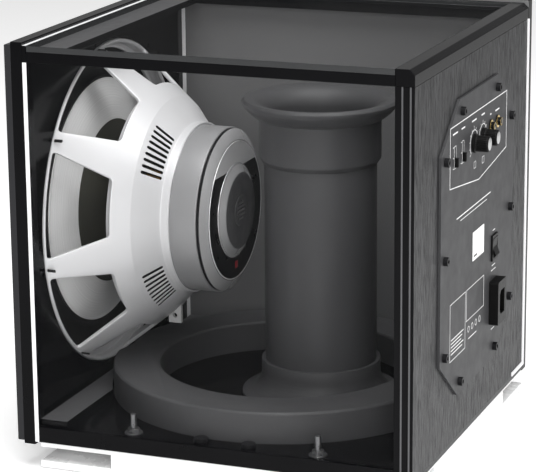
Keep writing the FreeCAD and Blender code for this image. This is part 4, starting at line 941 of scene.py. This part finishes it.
def build_amp():
    knob_z, (level_x, cross_x) = knob_places()
    print_panel(knob_z, level_x, cross_x)
    make_knob("level", "level_knob", level_x, knob_z)
    make_knob("crossover", "crossover_knob", cross_x, knob_z)
    tip = span("signal_jacks")[1].y
    for k, x in enumerate(JACK_X):
        section = [(2.2, tip - 1.2), (4.0, tip - 0.35), (4.0, tip - 0.06), (3.6, tip), (2.2, tip)]
        insulator = lathe("jack_insulator_%d" % k, section, (x, FLOOR_Z + JACK_Z), "Y",
                          EXTRA["pale_insulator"], 64, 0)
        stand_for(insulator, slot="jack_gold", body="cabinet")
    refine("amp_plate", 0.5)
    for node in ("amp_screws", "rocker_bezel", "mains_inlet", "signal_jacks", "badge_plate",
                 "phase_switch_slider", "mode_switch_slider", "power_rocker"):
        refine(node, 0.35)
    low, high = span("badge_plate")
    badge_bar = slab("badge_bar", (low.x + 25, high.y - GAP, low.z + 3.5),
                     (high.x - 3, high.y + 0.08, low.z + 5.5), LOOKS["label_black"], 0.02, 1)
    stand_for(badge_bar, slot="badge_white", body="cabinet")


# ------------------------------------------------------------ cabinet
EDGE_EASE = {               # how far each node's edges are eased, in millimetres
    "front_plate": 0.7, "front_baffle": 0.7, "trim_frame": 0.3, "far_side_board": 0.8, "bottom_board": 0.5,
    "rear_board": 0.5, "rear_trim_strips": 0.25, "top_rails": 0.4, "top_rail_rear": 0.7, "cleats": 0.5,
    "clear_top_panel": 0.5, "clear_side_panel": 0.4, "plinth_top_plate": 0.6, "plinth_base_plate": 0.8,
    "plinth_blocks": 0.5, "floor_ring": 0.3, "foot_pads": 0.3, "foot_nuts": 0.3, "board_screws": 0.4,
    "terminal_block": 0.4, "driver_screws": 0.3,
}


def second_look(node, look, wanted):
    """Gives the chosen faces of an eased node another finish."""
    mesh = bpy.data.objects[node + "_eased"].data
    mesh.materials.append(look.mat)
    for face in mesh.polygons:
        if wanted(face):
            face.material_index = len(mesh.materials) - 1


def split_trim(height):
    """Cuts the trim frame's faces at a height, so that its top corner can take another finish than the
    painted highlight.
    """
    trim = bpy.data.objects["trim_frame_eased"].data
    bm = bmesh.new()
    bm.from_mesh(trim)
    bmesh.ops.bisect_plane(bm, geom=bm.verts[:] + bm.edges[:] + bm.faces[:], plane_co=(0, 0, height),
                           plane_no=(0, 0, 1))
    bm.to_mesh(trim)
    bm.free()


def build_cabinet():
    for node, width in EDGE_EASE.items():
        refine(node, width)
    second_look("clear_top_panel", EXTRA["polished_edge"], lambda face: abs(face.normal.z) < 0.5)
    # The rear trim strips' faces on the near side take grey: painted reflection lines.
    second_look("rear_trim_strips", EXTRA["painted_reflection_grey"], lambda face: face.center.x > 0)
    second_look("far_side_board", EXTRA["inner_grey"], lambda face: face.normal.x > 0.9)
    second_look("rear_board", LOOKS["board_black"], lambda face: abs(face.normal.y) < 0.9)
    second_look("signal_jacks", LOOKS["control_black"], lambda face: face.normal.y < 0.9)
    second_look("cleats", EXTRA["batten_grey"], lambda face: abs(face.normal.z) > 0.5)
    rail_low = span("top_rails")[0].z * MM
    split_trim(rail_low)
    # Rear-facing faces and the near face above the rails turn black; the rest keeps the pale painted
    # highlight.
    second_look("trim_frame", LOOKS["board_black"],
                lambda face: face.normal.y > 0.5 or (face.normal.x > 0.5 and face.center.z > rail_low))


def dress_rest():
    """Every CAD node that is still shown takes its slot's material."""
    for name, obj in NODES.items():
        mesh = obj.data
        mesh.materials.clear()
        mesh.materials.append(LOOKS[SLOT_OF[name]].mat)


# ------------------------------------------------------------ stage
def build_stage():
    """A pale floor, a pale world and three soft boxes. The camera sees both brighter than the object does."""
    bm = bmesh.new()
    bmesh.ops.create_grid(bm, x_segments=4, y_segments=4, size=9.0)
    floor_look = Finish("studio_floor", (0.9, 0.9, 0.9), 0.6)
    floor_look.color(floor_look.noise(2.0), (0.92, 0.92, 0.92), (0.95, 0.95, 0.95))
    floor_look.set("Emission Color", (1, 1, 1, 1))
    seen = floor_look.node("ShaderNodeLightPath")
    floor_look.link(floor_look.span(seen.outputs["Is Camera Ray"], 0, 1, 0, 0.3),
                    floor_look.shader.inputs["Emission Strength"])
    floor = finish_mesh("studio_floor", bm, floor_look)

    world = bpy.data.worlds.new("studio")
    bpy.context.scene.world = world
    world.use_nodes = True
    tree = world.node_tree
    background = tree.nodes["Background"]
    background.inputs["Color"].default_value = (1, 1, 1, 1)
    path = tree.nodes.new("ShaderNodeLightPath")
    level = tree.nodes.new("ShaderNodeMapRange")
    level.inputs["To Min"].default_value = 0.30
    level.inputs["To Max"].default_value = 1.0
    tree.links.new(path.outputs["Is Camera Ray"], level.inputs["Value"])
    tree.links.new(level.outputs["Result"], background.inputs["Strength"])

    def softbox(name, place_at, aim, size, power):
        light = bpy.data.lights.new(name, "AREA")
        light.shape = "RECTANGLE"
        light.size, light.size_y = size
        light.energy = power
        obj = bpy.data.objects.new(name, light)
        bpy.context.scene.collection.objects.link(obj)
        obj.location = place_at
        direction = Vector(aim) - Vector(place_at)
        obj.rotation_euler = direction.to_track_quat("-Z", "Y").to_euler()

    softbox("top_box", (0.6, 0.5, 2.6), (0, 0, 0.2), (2.2, 2.2), 95)
    softbox("side_box", (2.6, 0.9, 1.0), (0, 0, 0.22), (1.4, 1.2), 34)
    softbox("rear_box", (0.4, 2.7, 1.1), (0, 0.2, 0.22), (1.6, 1.4), 25)


def build_camera():
    """The photograph's viewing angle, about a point in the cabinet, in metres."""
    azimuth, elevation, roll = math.radians(111.164), math.radians(14.772), math.radians(-0.539)
    target = Vector((0.06807, 0.00733, 0.22497))
    distance = 2.43876
    back = Vector((math.sin(azimuth) * math.cos(elevation), -math.cos(azimuth) * math.cos(elevation),
                   math.sin(elevation)))
    right = Vector((math.cos(azimuth), math.sin(azimuth), 0))
    up = back.cross(right)
    right, up = (right * math.cos(roll) + up * math.sin(roll),
                 up * math.cos(roll) - right * math.sin(roll))
    camera = bpy.data.cameras.new("camera")
    camera.sensor_width = 36.0
    camera.lens = 163.3742
    camera.clip_end = 50
    obj = bpy.data.objects.new("camera", camera)
    bpy.context.scene.collection.objects.link(obj)
    turn = Matrix((right, up, back)).transposed().to_4x4()
    obj.matrix_world = Matrix.Translation(target + back * distance) @ turn
    bpy.context.scene.camera = obj


build_camera()
build_stage()
build_driver()
build_port()
build_amp()
build_cabinet()
dress_rest()
bpy.context.scene.view_settings.view_transform = "Standard"
